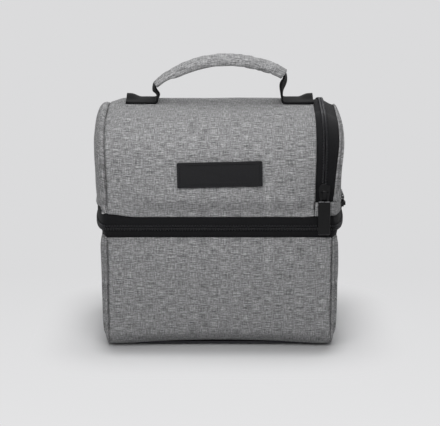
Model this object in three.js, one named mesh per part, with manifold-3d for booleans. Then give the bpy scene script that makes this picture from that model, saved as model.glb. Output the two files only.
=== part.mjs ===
// A two-compartment cooler bag: a lower tub, and a domed upper box that zips on top of it and tips back on a
// cloth hinge. The right end of the upper box is a zipped flap. Millimetres, +Z up, the front faces -Y, and the
// origin is the middle of the base.
import * as THREE from "three";
import { mergeVertices } from "three/addons/utils/BufferGeometryUtils.js";
import Module from "manifold-3d";

// Driving dimensions of the bag
const seamHalf = 115; // half the width of the wrap panels, seam to seam
const depth = 165; // front to back
const lowerTop = 120; // where the lower cloth meets the waist zip
const bandHeight = 21; // cloth edge to cloth edge across the waist zip
const bagTop = 248; // crest of the upper box
const baseRadius = 16; // fold of the lower wrap at the base
const domeRadius = 52; // fold of the upper wrap at the top
const lowerBulge = 11; // how far the lower ends swell past their seams
const upperBulge = 17; // how far the upper ends swell past their seams
const waistBulge = 14; // how far the waist zip swells past the seams
const endPower = 2.4; // roundness of the swollen ends: 2 is an ellipse, more is boxier
const sillHeight = 16; // fixed strip of the right end, under the fold of the flap

// Layers of the walls
const cloth = 1.2;
const foam = 5;
const lining = 0.8;
const boardThickness = 2;
const dividerFoam = 7;
const gap = 0.3; // between pieces that touch
const bindingHeight = 1.6;

// Zips
const tape = 1;
const coilProud = 1.5; // height of the coil on its tape
const coilWidth = 3;
const toothDepth = 0.8; // how far the coil's turns stand out towards the other row
const toothRelief = 0.6; // how far the grooves between turns dip
const toothPitch = 6;
const partingGap = 1.4; // between the two rows of turns
const sideTape = 8.1; // width of each side tape that shows
const waistZipEnd = 60; // angle round the ends, past the middle of the side, where the waist zip stops
const hingeGapAngle = 2; // between the end of the waist zip and the cloth hinge
const stopWidth = 5;
const stopHeight = 3;
const stopProud = 1.4;

// Sliders and pullers
const sliderLength = 16;
const sliderWide = 12;
const sliderNarrow = 9;
const sliderPlate = 1.6;
const sliderClearance = 0.5; // over the coil
const backClearance = 1.5; // under the tape
const postWidth = 0.7;
const postLength = 5;
const bridgeWidth = 4;
const bridgeSpan = 5; // clear length under the bridge
const bridgeRise = 3.2; // clear height under the bridge
const bridgeWall = 1.3;
const pullerWidth = 12.5;
const pullerLength = 34;
const pullerThickness = 2;
const pullerArm = 8.5; // from the hinge bar to the tab
const armWidth = 1.8;
const armClearance = 0.5;
const sideSliderLift = 10; // middle of the side slider above the fold of the flap
const waistSliderY = 30;

// Handle
const anchorSetback = 13; // from the end's seam to the outer end of the handle's webbing
const anchorLength = 35;
const webbingWidth = 25;
const webbing = 1.8;
const gripEndRise = 22; // middle of the grip's ends above the crest
const gripRise = 23; // arch of the grip over its ends
const gripThickness = 9.5;
const gripWidth = 27;
const gripCloth = 1;
const gripRoundness = 0.8; // corner radius of the grip, as a share of half its thickness
const riserFootPull = 0.5; // how far the webbing climbs straight from its foot, as a share of its height
const riserTopPull = 0.3; // how far it runs on in the grip's direction

// Label patch
const labelWidth = 86;
const labelHeight = 25;
const labelThickness = 2;
const labelBorder = 2.2;
const labelRecess = 0.6;
const labelLift = 46.5; // middle of the patch above the waist zip

// Facets
const endRings = 6;
const cornerSteps = 3; // three.js draws two facets for each step of an arc
const rimSteps = 60;
const gripSteps = 14;
const riserSteps = 8;
const rimDivisions = 600; // for even steps along the rim
const shieldSteps = 8;
const tabSteps = 4;
const barSides = 10;
const weldDistance = 1e-4;

// Places that follow from the dimensions
const halfDepth = depth / 2;
const upperBottom = lowerTop + bandHeight;
const parting = lowerTop + bandHeight / 2;
const foldZ = upperBottom + sillHeight;
const foamInset = cloth + gap;
const liningInset = foamInset + foam + gap;
const wallThickness = liningInset + lining;
const bindingInset = foamInset + tape + gap; // clear of the zip tape above the rim
const boardLift = boardThickness + gap;
const sideTapeOuter = seamHalf - gap;
const sideZipX = sideTapeOuter - sideTape - partingGap / 2; // middle of the side zip
const sideTapeInner = sideZipX - partingGap / 2 - sideTape;
const coilOuter = gap + coilProud;
const sideSliderZ = foldZ + sideSliderLift;
const labelZ = upperBottom + labelLift;
const anchorInner = seamHalf - anchorSetback - anchorLength; // where the handle's webbing turns up
const gripHalf = anchorInner; // half the chord of the grip

const materials = {
  greyCloth: new THREE.MeshStandardMaterial({ color: 0x8e8f90, roughness: 0.95 }),
  blackWebbing: new THREE.MeshStandardMaterial({ color: 0x1b1b1d, roughness: 0.85 }),
  zipTape: new THREE.MeshStandardMaterial({ color: 0x1e1e20, roughness: 0.9 }),
  zipCoil: new THREE.MeshStandardMaterial({ color: 0x161618, roughness: 0.45 }),
  zipMetal: new THREE.MeshStandardMaterial({ color: 0x18181a, roughness: 0.3, metalness: 0.8 }),
  whiteFoam: new THREE.MeshStandardMaterial({ color: 0xe6e6e2, roughness: 0.9 }),
  silverLining: new THREE.MeshStandardMaterial({ color: 0xb8babd, roughness: 0.4, metalness: 0.3 }),
  baseBoard: new THREE.MeshStandardMaterial({ color: 0x303032, roughness: 0.6 }),
  patchRubber: new THREE.MeshStandardMaterial({ color: 0x1c1c1f, roughness: 0.6 }),
};

const wasm = await Module();
wasm.setup();

// Closed meshes from rings of points

function signedVolume(points, faces) {
  let volume = 0;
  for (const [a, b, c] of faces) {
    volume += points[a].dot(new THREE.Vector3().crossVectors(points[b], points[c]));
  }
  return volume;
}

function closedGeometry(points, faces) {
  const outward = signedVolume(points, faces) > 0;
  const geometry = new THREE.BufferGeometry().setFromPoints(points);
  geometry.setIndex(faces.flatMap(([a, b, c]) => (outward ? [a, b, c] : [a, c, b])));
  return geometry;
}

// Joins a row of rings, each with as many points as the next, and closes the two ends.
function loft(rings) {
  const count = rings[0].length;
  const points = rings.flat();
  const faces = [];
  for (let ring = 0; ring + 1 < rings.length; ring++) {
    for (let i = 0; i < count; i++) {
      const next = (i + 1) % count;
      const a = ring * count + i;
      const b = ring * count + next;
      faces.push([a, b, b + count], [a, b + count, a + count]);
    }
  }
  const last = (rings.length - 1) * count;
  for (let i = 1; i + 1 < count; i++) {
    faces.push([0, i + 1, i], [last, last + i, last + i + 1]);
  }
  return closedGeometry(points, faces);
}

// A pipe between an outer and an inner row of rings, open at both ends.
function pipe(outerRings, innerRings) {
  return loftClosed(outerRings.map((ring, i) => [ring, innerRings[i]]));
}

function loftClosed(pairs) {
  const count = pairs[0][0].length;
  const points = [];
  const faces = [];
  for (const [outer, inner] of pairs) points.push(...outer, ...inner);
  const at = (station, side, i) => station * 2 * count + side * count + (i % count);
  for (let i = 0; i < count; i++) {
    for (let s = 0; s + 1 < pairs.length; s++) {
      faces.push([at(s, 0, i), at(s, 0, i + 1), at(s + 1, 0, i + 1)]);
      faces.push([at(s, 0, i), at(s + 1, 0, i + 1), at(s + 1, 0, i)]);
      faces.push([at(s, 1, i), at(s + 1, 1, i + 1), at(s, 1, i + 1)]);
      faces.push([at(s, 1, i), at(s + 1, 1, i), at(s + 1, 1, i + 1)]);
    }
    const end = pairs.length - 1;
    faces.push([at(0, 0, i), at(0, 1, i + 1), at(0, 0, i + 1)]);
    faces.push([at(0, 0, i), at(0, 1, i), at(0, 1, i + 1)]);
    faces.push([at(end, 0, i), at(end, 0, i + 1), at(end, 1, i + 1)]);
    faces.push([at(end, 0, i), at(end, 1, i + 1), at(end, 1, i)]);
  }
  return closedGeometry(points, faces);
}

// Boolean joins and cuts

function toSolid(geometry) {
  const bare = geometry.index ? geometry.toNonIndexed() : geometry.clone();
  bare.deleteAttribute("normal");
  bare.deleteAttribute("uv");
  const merged = mergeVertices(bare, weldDistance);
  return new wasm.Manifold(
    new wasm.Mesh({
      numProp: 3,
      vertProperties: new Float32Array(merged.attributes.position.array),
      triVerts: new Uint32Array(merged.index.array),
    }),
  );
}

function toGeometry(solid) {
  const mesh = solid.getMesh();
  const geometry = new THREE.BufferGeometry();
  geometry.setAttribute("position", new THREE.BufferAttribute(mesh.vertProperties, 3));
  geometry.setIndex(new THREE.BufferAttribute(mesh.triVerts, 1));
  return geometry;
}

function join(...geometries) {
  return toGeometry(geometries.map(toSolid).reduce((whole, piece) => whole.add(piece)));
}

function cut(geometry, ...tools) {
  return toGeometry(tools.map(toSolid).reduce((whole, tool) => whole.subtract(tool), toSolid(geometry)));
}

function block(low, high) {
  const size = new THREE.Vector3().subVectors(high, low);
  const middle = new THREE.Vector3().addVectors(low, high).multiplyScalar(0.5);
  return new THREE.BoxGeometry(size.x, size.y, size.z).translate(middle.x, middle.y, middle.z);
}

// Outlines of the wraps, as seen from the side: x of these points is the bag's Y, and y is its Z

const samePlace = 1e-6;

function outlinePoints(path) {
  const points = path.getPoints(cornerSteps);
  return points.filter((p, i) => i === 0 || p.distanceTo(points[i - 1]) > samePlace);
}

function lowerOutline(inset, lift = 0) {
  const half = halfDepth - inset;
  const base = inset + lift;
  const radius = baseRadius - inset;
  const path = new THREE.Path();
  path.moveTo(-half, lowerTop);
  path.lineTo(-half, base + radius);
  path.absarc(-half + radius, base + radius, radius, Math.PI, 1.5 * Math.PI, false);
  path.lineTo(half - radius, base);
  path.absarc(half - radius, base + radius, radius, 1.5 * Math.PI, 2 * Math.PI, false);
  path.lineTo(half, lowerTop);
  return outlinePoints(path);
}

function upperOutline(inset, from = upperBottom) {
  const half = halfDepth - inset;
  const top = bagTop - inset;
  const radius = domeRadius - inset;
  const path = new THREE.Path();
  path.moveTo(-half, from);
  path.lineTo(-half, top - radius);
  path.absarc(-half + radius, top - radius, radius, Math.PI, 0.5 * Math.PI, true);
  path.lineTo(half - radius, top);
  path.absarc(half - radius, top - radius, radius, 0.5 * Math.PI, 0, true);
  path.lineTo(half, from);
  return outlinePoints(path);
}

// A sheet of even thickness that follows a wrap's outline, from one X to another.
function wrapSheet(outer, inner, fromX, toX) {
  const section = new THREE.Shape([...outer, ...inner.toReversed()]);
  const geometry = new THREE.ExtrudeGeometry(section, { depth: toX - fromX, bevelEnabled: false });
  const shapeToBag = new THREE.Matrix4().makeBasis(
    new THREE.Vector3(0, 1, 0),
    new THREE.Vector3(0, 0, 1),
    new THREE.Vector3(1, 0, 0),
  );
  return geometry.applyMatrix4(shapeToBag).translate(fromX, 0, 0);
}

// A superellipse's quarter: across falls from 1 to 0 while along climbs from 0 to 1.
function roundEnd(angle) {
  const power = 2 / endPower;
  return {
    across: Math.max(0, Math.cos(angle)) ** power,
    along: Math.sign(Math.sin(angle)) * Math.abs(Math.sin(angle)) ** power,
  };
}

// One skin of a swollen end: rings of the outline that shrink towards the middle of its open edge as they rise.
function endRows(outline, openZ, bulge) {
  const rows = [];
  for (let ring = 0; ring < endRings; ring++) {
    const { across, along } = roundEnd((Math.PI / 2) * (1 - ring / endRings));
    const x = seamHalf + bulge * across;
    rows.push(outline.map((p) => new THREE.Vector3(x, p.x * along, openZ + (p.y - openZ) * along)));
  }
  return rows;
}

// A swollen end panel: an outer and an inner skin with a flat rim at the seam and a flat open edge.
function endSheet(outerOutline, innerOutline, openZ, outerBulge, innerBulge) {
  const skins = [
    { rows: endRows(outerOutline, openZ, outerBulge), bulge: outerBulge },
    { rows: endRows(innerOutline, openZ, innerBulge), bulge: innerBulge },
  ];
  const count = outerOutline.length;
  const points = [];
  const faces = [];
  const start = [];
  for (const { rows, bulge } of skins) {
    start.push(points.length);
    points.push(...rows.flat(), new THREE.Vector3(seamHalf + bulge, 0, openZ));
  }
  const at = (skin, ring, i) => start[skin] + (ring === endRings ? endRings * count : ring * count + i);
  const quad = (a, b, c, d) => faces.push([a, b, c], [a, c, d]);
  for (const skin of [0, 1]) {
    for (let i = 0; i + 1 < count; i++) {
      for (let ring = 0; ring + 1 < endRings; ring++) {
        const near = [at(skin, ring, i), at(skin, ring, i + 1)];
        const far = [at(skin, ring + 1, i + 1), at(skin, ring + 1, i)];
        quad(...(skin ? [...near, ...far].toReversed() : [...near, ...far]));
      }
      const tip = [at(skin, endRings - 1, i), at(skin, endRings - 1, i + 1), at(skin, endRings, 0)];
      faces.push(skin ? tip.toReversed() : tip);
    }
  }
  for (let i = 0; i + 1 < count; i++) quad(at(1, 0, i), at(1, 0, i + 1), at(0, 0, i + 1), at(0, 0, i));
  for (let ring = 0; ring < endRings; ring++) {
    quad(at(1, ring, 0), at(0, ring, 0), at(0, ring + 1, 0), at(1, ring + 1, 0));
    const far = count - 1;
    quad(at(0, ring, far), at(1, ring, far), at(1, ring + 1, far), at(0, ring + 1, far));
  }
  return closedGeometry(points, faces);
}

function mirrored(geometry) {
  const turned = geometry.clone().scale(-1, 1, 1);
  const index = turned.index.array;
  for (let i = 0; i < index.length; i += 3) [index[i + 1], index[i + 2]] = [index[i + 2], index[i + 1]];
  return turned;
}

// The bag's rim in plan, walked from the back of the left end round the front to the back of the right end,
// or, for the back, from the left end round the back to the right end.
class RimCurve extends THREE.Curve {
  constructor(endAngle, side = 1) {
    super();
    Object.assign(this, { endAngle, side });
    this.arcLengthDivisions = rimDivisions;
  }

  // A third of the walk each for the left end, the straight wall and the right end.
  getPoint(t, target = new THREE.Vector3()) {
    const leg = Math.min(2, Math.floor(t * 3));
    const share = t * 3 - leg;
    if (leg === 1) {
      return target.set(seamHalf * (2 * share - 1), -this.side * halfDepth, 0);
    }
    const wall = -this.side * (Math.PI / 2);
    const { across, along } = roundEnd(wall + (this.endAngle - wall) * (leg ? share : 1 - share));
    const x = seamHalf + waistBulge * across;
    return target.set(leg ? x : -x, halfDepth * along, 0);
  }
}

const up = new THREE.Vector3(0, 0, 1);

// Points spaced evenly along a curve, each with the outward normal of the wall there.
function stations(curve, steps, flip) {
  return Array.from({ length: steps + 1 }, (_, i) => {
    const point = curve.getPointAt(i / steps);
    const tangent = curve.getTangentAt(i / steps);
    const normal = new THREE.Vector3().crossVectors(tangent, up).multiplyScalar(flip);
    return { point, normal };
  });
}

// A strip that follows the rim between two heights and two distances from the wall's face.
function rimStrip(curve, steps, flip, section) {
  return loft(
    stations(curve, steps, flip).map(({ point, normal }, i) => {
      const { low, high, inner, outer } = section(i);
      const corner = (z, offset) => point.clone().addScaledVector(normal, offset).setZ(z);
      return [corner(low, inner), corner(low, outer), corner(high, outer), corner(high, inner)];
    }),
  );
}

const zipEnd = THREE.MathUtils.degToRad(waistZipEnd);
const frontRim = new RimCurve(zipEnd);
const hingeStart = zipEnd + THREE.MathUtils.degToRad(hingeGapAngle);
const backRim = new RimCurve(hingeStart, -1);

function waistTape(low, high) {
  return rimStrip(frontRim, rimSteps, 1, () => ({ low, high, inner: -tape, outer: 0 }));
}

function backHinge(low, high) {
  return rimStrip(backRim, rimSteps / 2, -1, () => ({ low, high, inner: -cloth, outer: 0 }));
}

// A row of the coil: its turns stand out towards the parting line, with a groove between each two.
function waistCoil(direction) {
  const length = frontRim.getLength();
  const steps = 2 * Math.round(length / toothPitch);
  const head = parting + (direction * partingGap) / 2;
  return rimStrip(frontRim, steps, 1, (i) => {
    const turn = i % 2 === 0;
    const tip = turn ? head : head + direction * toothDepth;
    const back = head + direction * coilWidth;
    const outer = turn ? coilOuter : coilOuter - toothRelief;
    return { low: Math.min(tip, back), high: Math.max(tip, back), inner: gap, outer };
  });
}

// The side zip climbs the front, crosses the top and comes down the back.

class SideCurve extends THREE.CurvePath {
  constructor() {
    super();
    const points = upperOutline(0, foldZ).map((p) => new THREE.Vector3(0, p.x, p.y));
    for (let i = 0; i + 1 < points.length; i++) this.add(new THREE.LineCurve3(points[i], points[i + 1]));
  }
}

function outlineNormals(points) {
  return points.map((point, i) => {
    const before = points[Math.max(0, i - 1)];
    const after = points[Math.min(points.length - 1, i + 1)];
    const along = new THREE.Vector2().subVectors(after, before).normalize();
    return { point, normal: new THREE.Vector2(-along.y, along.x) };
  });
}

function sideStrip(places, section) {
  return loft(
    places.map(({ point, normal }, i) => {
      const { left, right, inner, outer } = section(i);
      const corner = (x, offset) =>
        new THREE.Vector3(x, point.x + normal.x * offset, point.y + normal.y * offset);
      return [corner(left, inner), corner(right, inner), corner(right, outer), corner(left, outer)];
    }),
  );
}

function sideTapeStrip(left, right) {
  return wrapSheet(upperOutline(0, foldZ), upperOutline(tape, foldZ), left, right);
}

function sideCoil(direction) {
  const curve = new SideCurve();
  const steps = 2 * Math.round(curve.getLength() / toothPitch);
  const points = curve.getSpacedPoints(steps).map((p) => new THREE.Vector2(p.y, p.z));
  const head = sideZipX + (direction * partingGap) / 2;
  return sideStrip(outlineNormals(points), (i) => {
    const turn = i % 2 === 0;
    const tip = turn ? head : head + direction * toothDepth;
    const back = head + direction * coilWidth;
    const outer = turn ? coilOuter : coilOuter - toothRelief;
    return { left: Math.min(tip, back), right: Math.max(tip, back), inner: gap, outer };
  });
}

// A stop at the foot of the side zip, on the sill: -1 is the front one and 1 the back one.
function sideStop(side) {
  const low = new THREE.Vector3(sideZipX - stopWidth / 2, halfDepth + gap, foldZ - 2 * gap - stopHeight);
  const high = new THREE.Vector3(sideZipX + stopWidth / 2, halfDepth + gap + stopProud, foldZ - 2 * gap);
  return block(low, high).rotateZ(side < 0 ? Math.PI : 0).translate(side < 0 ? 2 * sideZipX : 0, 0, 0);
}

// A stop at an end of the waist zip, on the lower half of the cloth hinge: -1 is the left and 1 the right one.
function waistStop(side) {
  const places = stations(backRim, rimSteps, -1).slice(0, 2);
  const high = parting - partingGap / 2;
  const rings = places.map(({ point, normal }) => {
    const corner = (z, offset) => {
      const place = point.clone().addScaledVector(normal, offset);
      return place.setX(-side * place.x).setZ(z);
    };
    const outer = gap + stopProud;
    const low = high - stopHeight;
    return [corner(low, gap), corner(low, outer), corner(high, outer), corner(high, gap)];
  });
  return loft(rings);
}

// A flat plate with the bag's plan.
function planPlate(bulge, inset, low, high) {
  const half = halfDepth - inset;
  const outline = [];
  for (const side of [1, -1]) {
    for (let ring = -endRings; ring <= endRings; ring++) {
      const { across, along } = roundEnd((side * ring * Math.PI) / (2 * endRings));
      const x = side * (seamHalf + (bulge - inset) * across);
      outline.push(new THREE.Vector2(x, half * along));
    }
  }
  const options = { depth: high - low, bevelEnabled: false };
  return new THREE.ExtrudeGeometry(new THREE.Shape(outline), options).translate(0, 0, low);
}

// The fixed strip of the right end, under the fold of the flap.
const sillStart = sideTapeInner;
function sillStrip(inner, outer, low, high) {
  const ring = (offset, z) => {
    const points = [new THREE.Vector3(sillStart, -(halfDepth - offset), z)];
    for (let step = -endRings; step <= endRings; step++) {
      const { across, along } = roundEnd((step * Math.PI) / (2 * endRings));
      const x = seamHalf + (upperBulge - offset) * across;
      points.push(new THREE.Vector3(x, (halfDepth - offset) * along, z));
    }
    points.push(new THREE.Vector3(sillStart, halfDepth - offset, z));
    return points;
  };
  const walls = [ring(outer, low), ring(outer, high), ring(inner, high), ring(inner, low)];
  return loft(walls[0].map((_, i) => walls.map((wall) => wall[i])));
}

// A slider: an outer and an inner plate joined by the post that parts the two rows, with a bridge for the
// puller. It is drawn flat: X across the zip, Y along it, Z out of the wall's face.
function sliderBody() {
  const outerLow = coilOuter + sliderClearance;
  const innerHigh = -tape - backClearance;
  const half = sliderLength / 2;
  const shield = new THREE.Shape();
  const shoulder = half - sliderWide / 3;
  shield.moveTo(-sliderNarrow / 2, -half);
  shield.lineTo(sliderNarrow / 2, -half);
  shield.lineTo(sliderWide / 2, shoulder);
  shield.absarc(0, shoulder, sliderWide / 2, 0, Math.PI, false);
  const options = { depth: sliderPlate, bevelEnabled: false, curveSegments: shieldSteps };
  const plate = (low) => new THREE.ExtrudeGeometry(shield, options).translate(0, 0, low);
  const post = block(
    new THREE.Vector3(-postWidth / 2, half - postLength, innerHigh - sliderPlate / 2),
    new THREE.Vector3(postWidth / 2, half, outerLow + sliderPlate / 2),
  );
  const deck = outerLow + sliderPlate;
  const bridge = new THREE.Shape();
  const legOut = bridgeSpan / 2 + bridgeWall;
  const roof = bridgeRise + bridgeWall;
  const sunk = -sliderPlate / 2;
  bridge.moveTo(-legOut, sunk);
  bridge.lineTo(-bridgeSpan / 2, sunk);
  bridge.lineTo(-bridgeSpan / 2, bridgeRise);
  bridge.lineTo(bridgeSpan / 2, bridgeRise);
  bridge.lineTo(bridgeSpan / 2, sunk);
  bridge.lineTo(legOut, sunk);
  bridge.lineTo(legOut, roof - bridgeWall / 2);
  bridge.lineTo(legOut - bridgeWall / 2, roof);
  bridge.lineTo(-legOut + bridgeWall / 2, roof);
  bridge.lineTo(-legOut, roof - bridgeWall / 2);
  const arch = new THREE.ExtrudeGeometry(bridge, { depth: bridgeWidth, bevelEnabled: false });
  const across = new THREE.Matrix4().makeBasis(
    new THREE.Vector3(0, 1, 0),
    new THREE.Vector3(0, 0, 1),
    new THREE.Vector3(1, 0, 0),
  );
  arch.applyMatrix4(across).translate(-bridgeWidth / 2, 0, deck);
  return join(plate(outerLow), plate(innerHigh - sliderPlate), post, arch);
}

const pullerAxisZ = coilOuter + sliderClearance + sliderPlate + bridgeRise / 2;

// A puller: a tab on two arms, with a bar between the arms that turns under the bridge. Drawn as the slider is,
// hanging towards -Y.
function pullerBody() {
  const armInner = bridgeWidth / 2 + armClearance;
  const armOuter = armInner + armWidth;
  const barRadius = pullerThickness / 2;
  const tab = new THREE.Shape();
  const half = pullerWidth / 2;
  const corner = pullerWidth / 6;
  const tabTop = -pullerArm;
  const tabEnd = tabTop - pullerLength;
  tab.moveTo(-half, tabTop);
  tab.lineTo(-half, tabEnd + corner);
  tab.absarc(-half + corner, tabEnd + corner, corner, Math.PI, 1.5 * Math.PI, false);
  tab.absarc(half - corner, tabEnd + corner, corner, 1.5 * Math.PI, 2 * Math.PI, false);
  tab.lineTo(half, tabTop);
  const options = { depth: pullerThickness, bevelEnabled: false, curveSegments: tabSteps };
  const plate = new THREE.ExtrudeGeometry(tab, options).translate(0, 0, -barRadius);
  const arms = [-1, 1].map((side) => {
    const [low, high] = [side * armInner, side * armOuter].sort((a, b) => a - b);
    return block(
      new THREE.Vector3(low, tabTop - corner, -barRadius),
      new THREE.Vector3(high, barRadius, barRadius),
    );
  });
  const bar = new THREE.CylinderGeometry(barRadius, barRadius, 2 * armOuter, barSides).rotateZ(Math.PI / 2);
  return join(plate, ...arms, bar);
}

// Handle

const gripRadius = (gripHalf ** 2 + gripRise ** 2) / (2 * gripRise);
const gripCentreZ = bagTop + gripEndRise + gripRise - gripRadius;
const gripAngle = Math.asin(gripHalf / gripRadius);

// Rings of a rounded band along the grip's arch; low and high are heights from the middle of the sleeve.
function gripRings(width, low, high, corner, steps) {
  const section = new THREE.Path();
  const half = width / 2;
  const corners = [
    [half - corner, high - corner, 0],
    [-half + corner, high - corner, Math.PI / 2],
    [-half + corner, low + corner, Math.PI],
    [half - corner, low + corner, 1.5 * Math.PI],
  ];
  for (const [x, y, from] of corners) section.absarc(x, y, corner, from, from + Math.PI / 2, false);
  const shape = section.getPoints(steps).slice(0, -1);
  return Array.from({ length: gripSteps + 1 }, (_, i) => {
    const angle = gripAngle * ((2 * i) / gripSteps - 1);
    return shape.map(({ x: across, y: height }) => {
      const radius = gripRadius + height;
      return new THREE.Vector3(radius * Math.sin(angle), across, gripCentreZ + radius * Math.cos(angle));
    });
  });
}

function dedupe(ring) {
  return ring.filter((p, i) => p.distanceTo(ring[(i + ring.length - 1) % ring.length]) > samePlace);
}

function gripSleeve() {
  const half = gripThickness / 2;
  const corner = half * gripRoundness;
  const rings = (inset) =>
    gripRings(gripWidth - 2 * inset, -half + inset, half - inset, corner - inset, 1).map(dedupe);
  return pipe(rings(0), rings(gripCloth));
}

const gripRoom = gripThickness / 2 - gripCloth - gap; // half the height inside the sleeve
const strapTop = -gripRoom + webbing;

function bandInGrip(low, high, width) {
  return loft(
    Array.from({ length: gripSteps + 1 }, (_, i) => {
      const angle = gripAngle * ((2 * i) / gripSteps - 1);
      const at = (across, height) =>
        new THREE.Vector3(
          (gripRadius + height) * Math.sin(angle),
          across,
          gripCentreZ + (gripRadius + height) * Math.cos(angle),
        );
      return [at(-width / 2, low), at(width / 2, low), at(width / 2, high), at(-width / 2, high)];
    }),
  );
}

const stuffingWidth = gripWidth - 2 * gripCloth - gripThickness / 2;

// The webbing between an anchor and the grip: it turns up from the anchor's inner end and runs into the sleeve.
function riser(side) {
  const endAngle = gripAngle;
  const strapMiddle = (-gripRoom + strapTop) / 2;
  const radius = gripRadius + strapMiddle;
  const top = new THREE.Vector2(radius * Math.sin(endAngle), gripCentreZ + radius * Math.cos(endAngle));
  const leave = new THREE.Vector2(Math.cos(endAngle), -Math.sin(endAngle));
  const start = top.clone().addScaledVector(leave, gap);
  const foot = new THREE.Vector2(anchorInner - gap - webbing / 2, bagTop + gap + webbing / 2);
  const climb = start.y - foot.y;
  const path = new THREE.CubicBezierCurve(
    start,
    start.clone().addScaledVector(leave, climb * riserTopPull),
    foot.clone().add(new THREE.Vector2(0, climb * riserFootPull)),
    foot,
  );
  const rings = Array.from({ length: riserSteps + 1 }, (_, i) => {
    const point = path.getPoint(i / riserSteps);
    const along = path.getTangent(i / riserSteps);
    const normal = new THREE.Vector2(-along.y, along.x).multiplyScalar(webbing / 2);
    const width = stuffingWidth;
    const at = (sign, y) => new THREE.Vector3(side * (point.x + sign * normal.x), y, point.y + sign * normal.y);
    return [at(1, -width / 2), at(1, width / 2), at(-1, width / 2), at(-1, -width / 2)];
  });
  return loft(rings);
}

function anchor(side) {
  const near = side * anchorInner;
  const far = side * (anchorInner + anchorLength);
  const low = new THREE.Vector3(Math.min(near, far), -webbingWidth / 2, bagTop + gap);
  const high = new THREE.Vector3(Math.max(near, far), webbingWidth / 2, bagTop + gap + webbing);
  return block(low, high);
}

function labelPatch() {
  const plate = block(
    new THREE.Vector3(-labelWidth / 2, -halfDepth - gap - labelThickness, labelZ - labelHeight / 2),
    new THREE.Vector3(labelWidth / 2, -halfDepth - gap, labelZ + labelHeight / 2),
  );
  const inside = new THREE.Vector3(labelWidth / 2 - labelBorder, 0, labelHeight / 2 - labelBorder);
  const face = -halfDepth - gap - labelThickness;
  const recess = block(
    new THREE.Vector3(-inside.x, face - labelThickness, labelZ - inside.z),
    new THREE.Vector3(inside.x, face + labelRecess, labelZ + inside.z),
  );
  return cut(plate, recess);
}

// The scene

const bag = new THREE.Group();

function add(name, geometry, material, parent = bag) {
  const mesh = new THREE.Mesh(geometry, material);
  mesh.name = name;
  parent.add(mesh);
  return mesh;
}

const wrapEnd = seamHalf - gap;
const upperWrapRight = sideTapeInner - gap;

// Lower tub
{
  const layers = [
    ["panel", 0, cloth, 0, materials.greyCloth],
    ["foam", foamInset, foamInset + foam, boardLift, materials.whiteFoam],
  ];
  for (const [layer, outer, inner, lift, material] of layers) {
    const outlines = [lowerOutline(outer, lift), lowerOutline(inner, lift)];
    const end = endSheet(...outlines, lowerTop, lowerBulge - outer, lowerBulge - inner);
    add(`lower_wrap_${layer}`, wrapSheet(...outlines, -wrapEnd, wrapEnd), material);
    add(`lower_right_end_${layer}`, end, material);
    add(`lower_left_end_${layer}`, mirrored(end), material);
  }
  const lined = [lowerOutline(liningInset, boardLift), lowerOutline(wallThickness, boardLift)];
  const linedEnd = endSheet(...lined, lowerTop, lowerBulge - liningInset, lowerBulge - wallThickness);
  const liner = join(wrapSheet(...lined, -seamHalf, seamHalf), linedEnd, mirrored(linedEnd));
  add("lower_liner", liner, materials.silverLining);
  const boardHalf = new THREE.Vector2(wrapEnd, halfDepth - baseRadius);
  const board = block(
    new THREE.Vector3(-boardHalf.x, -boardHalf.y, cloth + gap),
    new THREE.Vector3(boardHalf.x, boardHalf.y, cloth + gap + boardThickness),
  );
  add("base_board", board, materials.baseBoard);
  const bindingLow = lowerTop + gap;
  const bindingHigh = bindingLow + bindingHeight;
  const bindingOuter = planPlate(lowerBulge, bindingInset, bindingLow, bindingHigh);
  const bindingHole = planPlate(lowerBulge, wallThickness, lowerTop, bindingHigh + gap);
  add("lower_rim_binding", cut(bindingOuter, bindingHole), materials.blackWebbing);
  add("waist_zip_lower_tape", waistTape(lowerTop + gap, parting - partingGap / 2), materials.zipTape);
  add("waist_zip_lower_coil", waistCoil(-1), materials.zipCoil);
  add("waist_zip_left_stop", waistStop(-1), materials.zipCoil);
  add("waist_zip_right_stop", waistStop(1), materials.zipCoil);
  add("back_hinge_lower", backHinge(lowerTop + gap, parting - partingGap / 2), materials.greyCloth);
}

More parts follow.
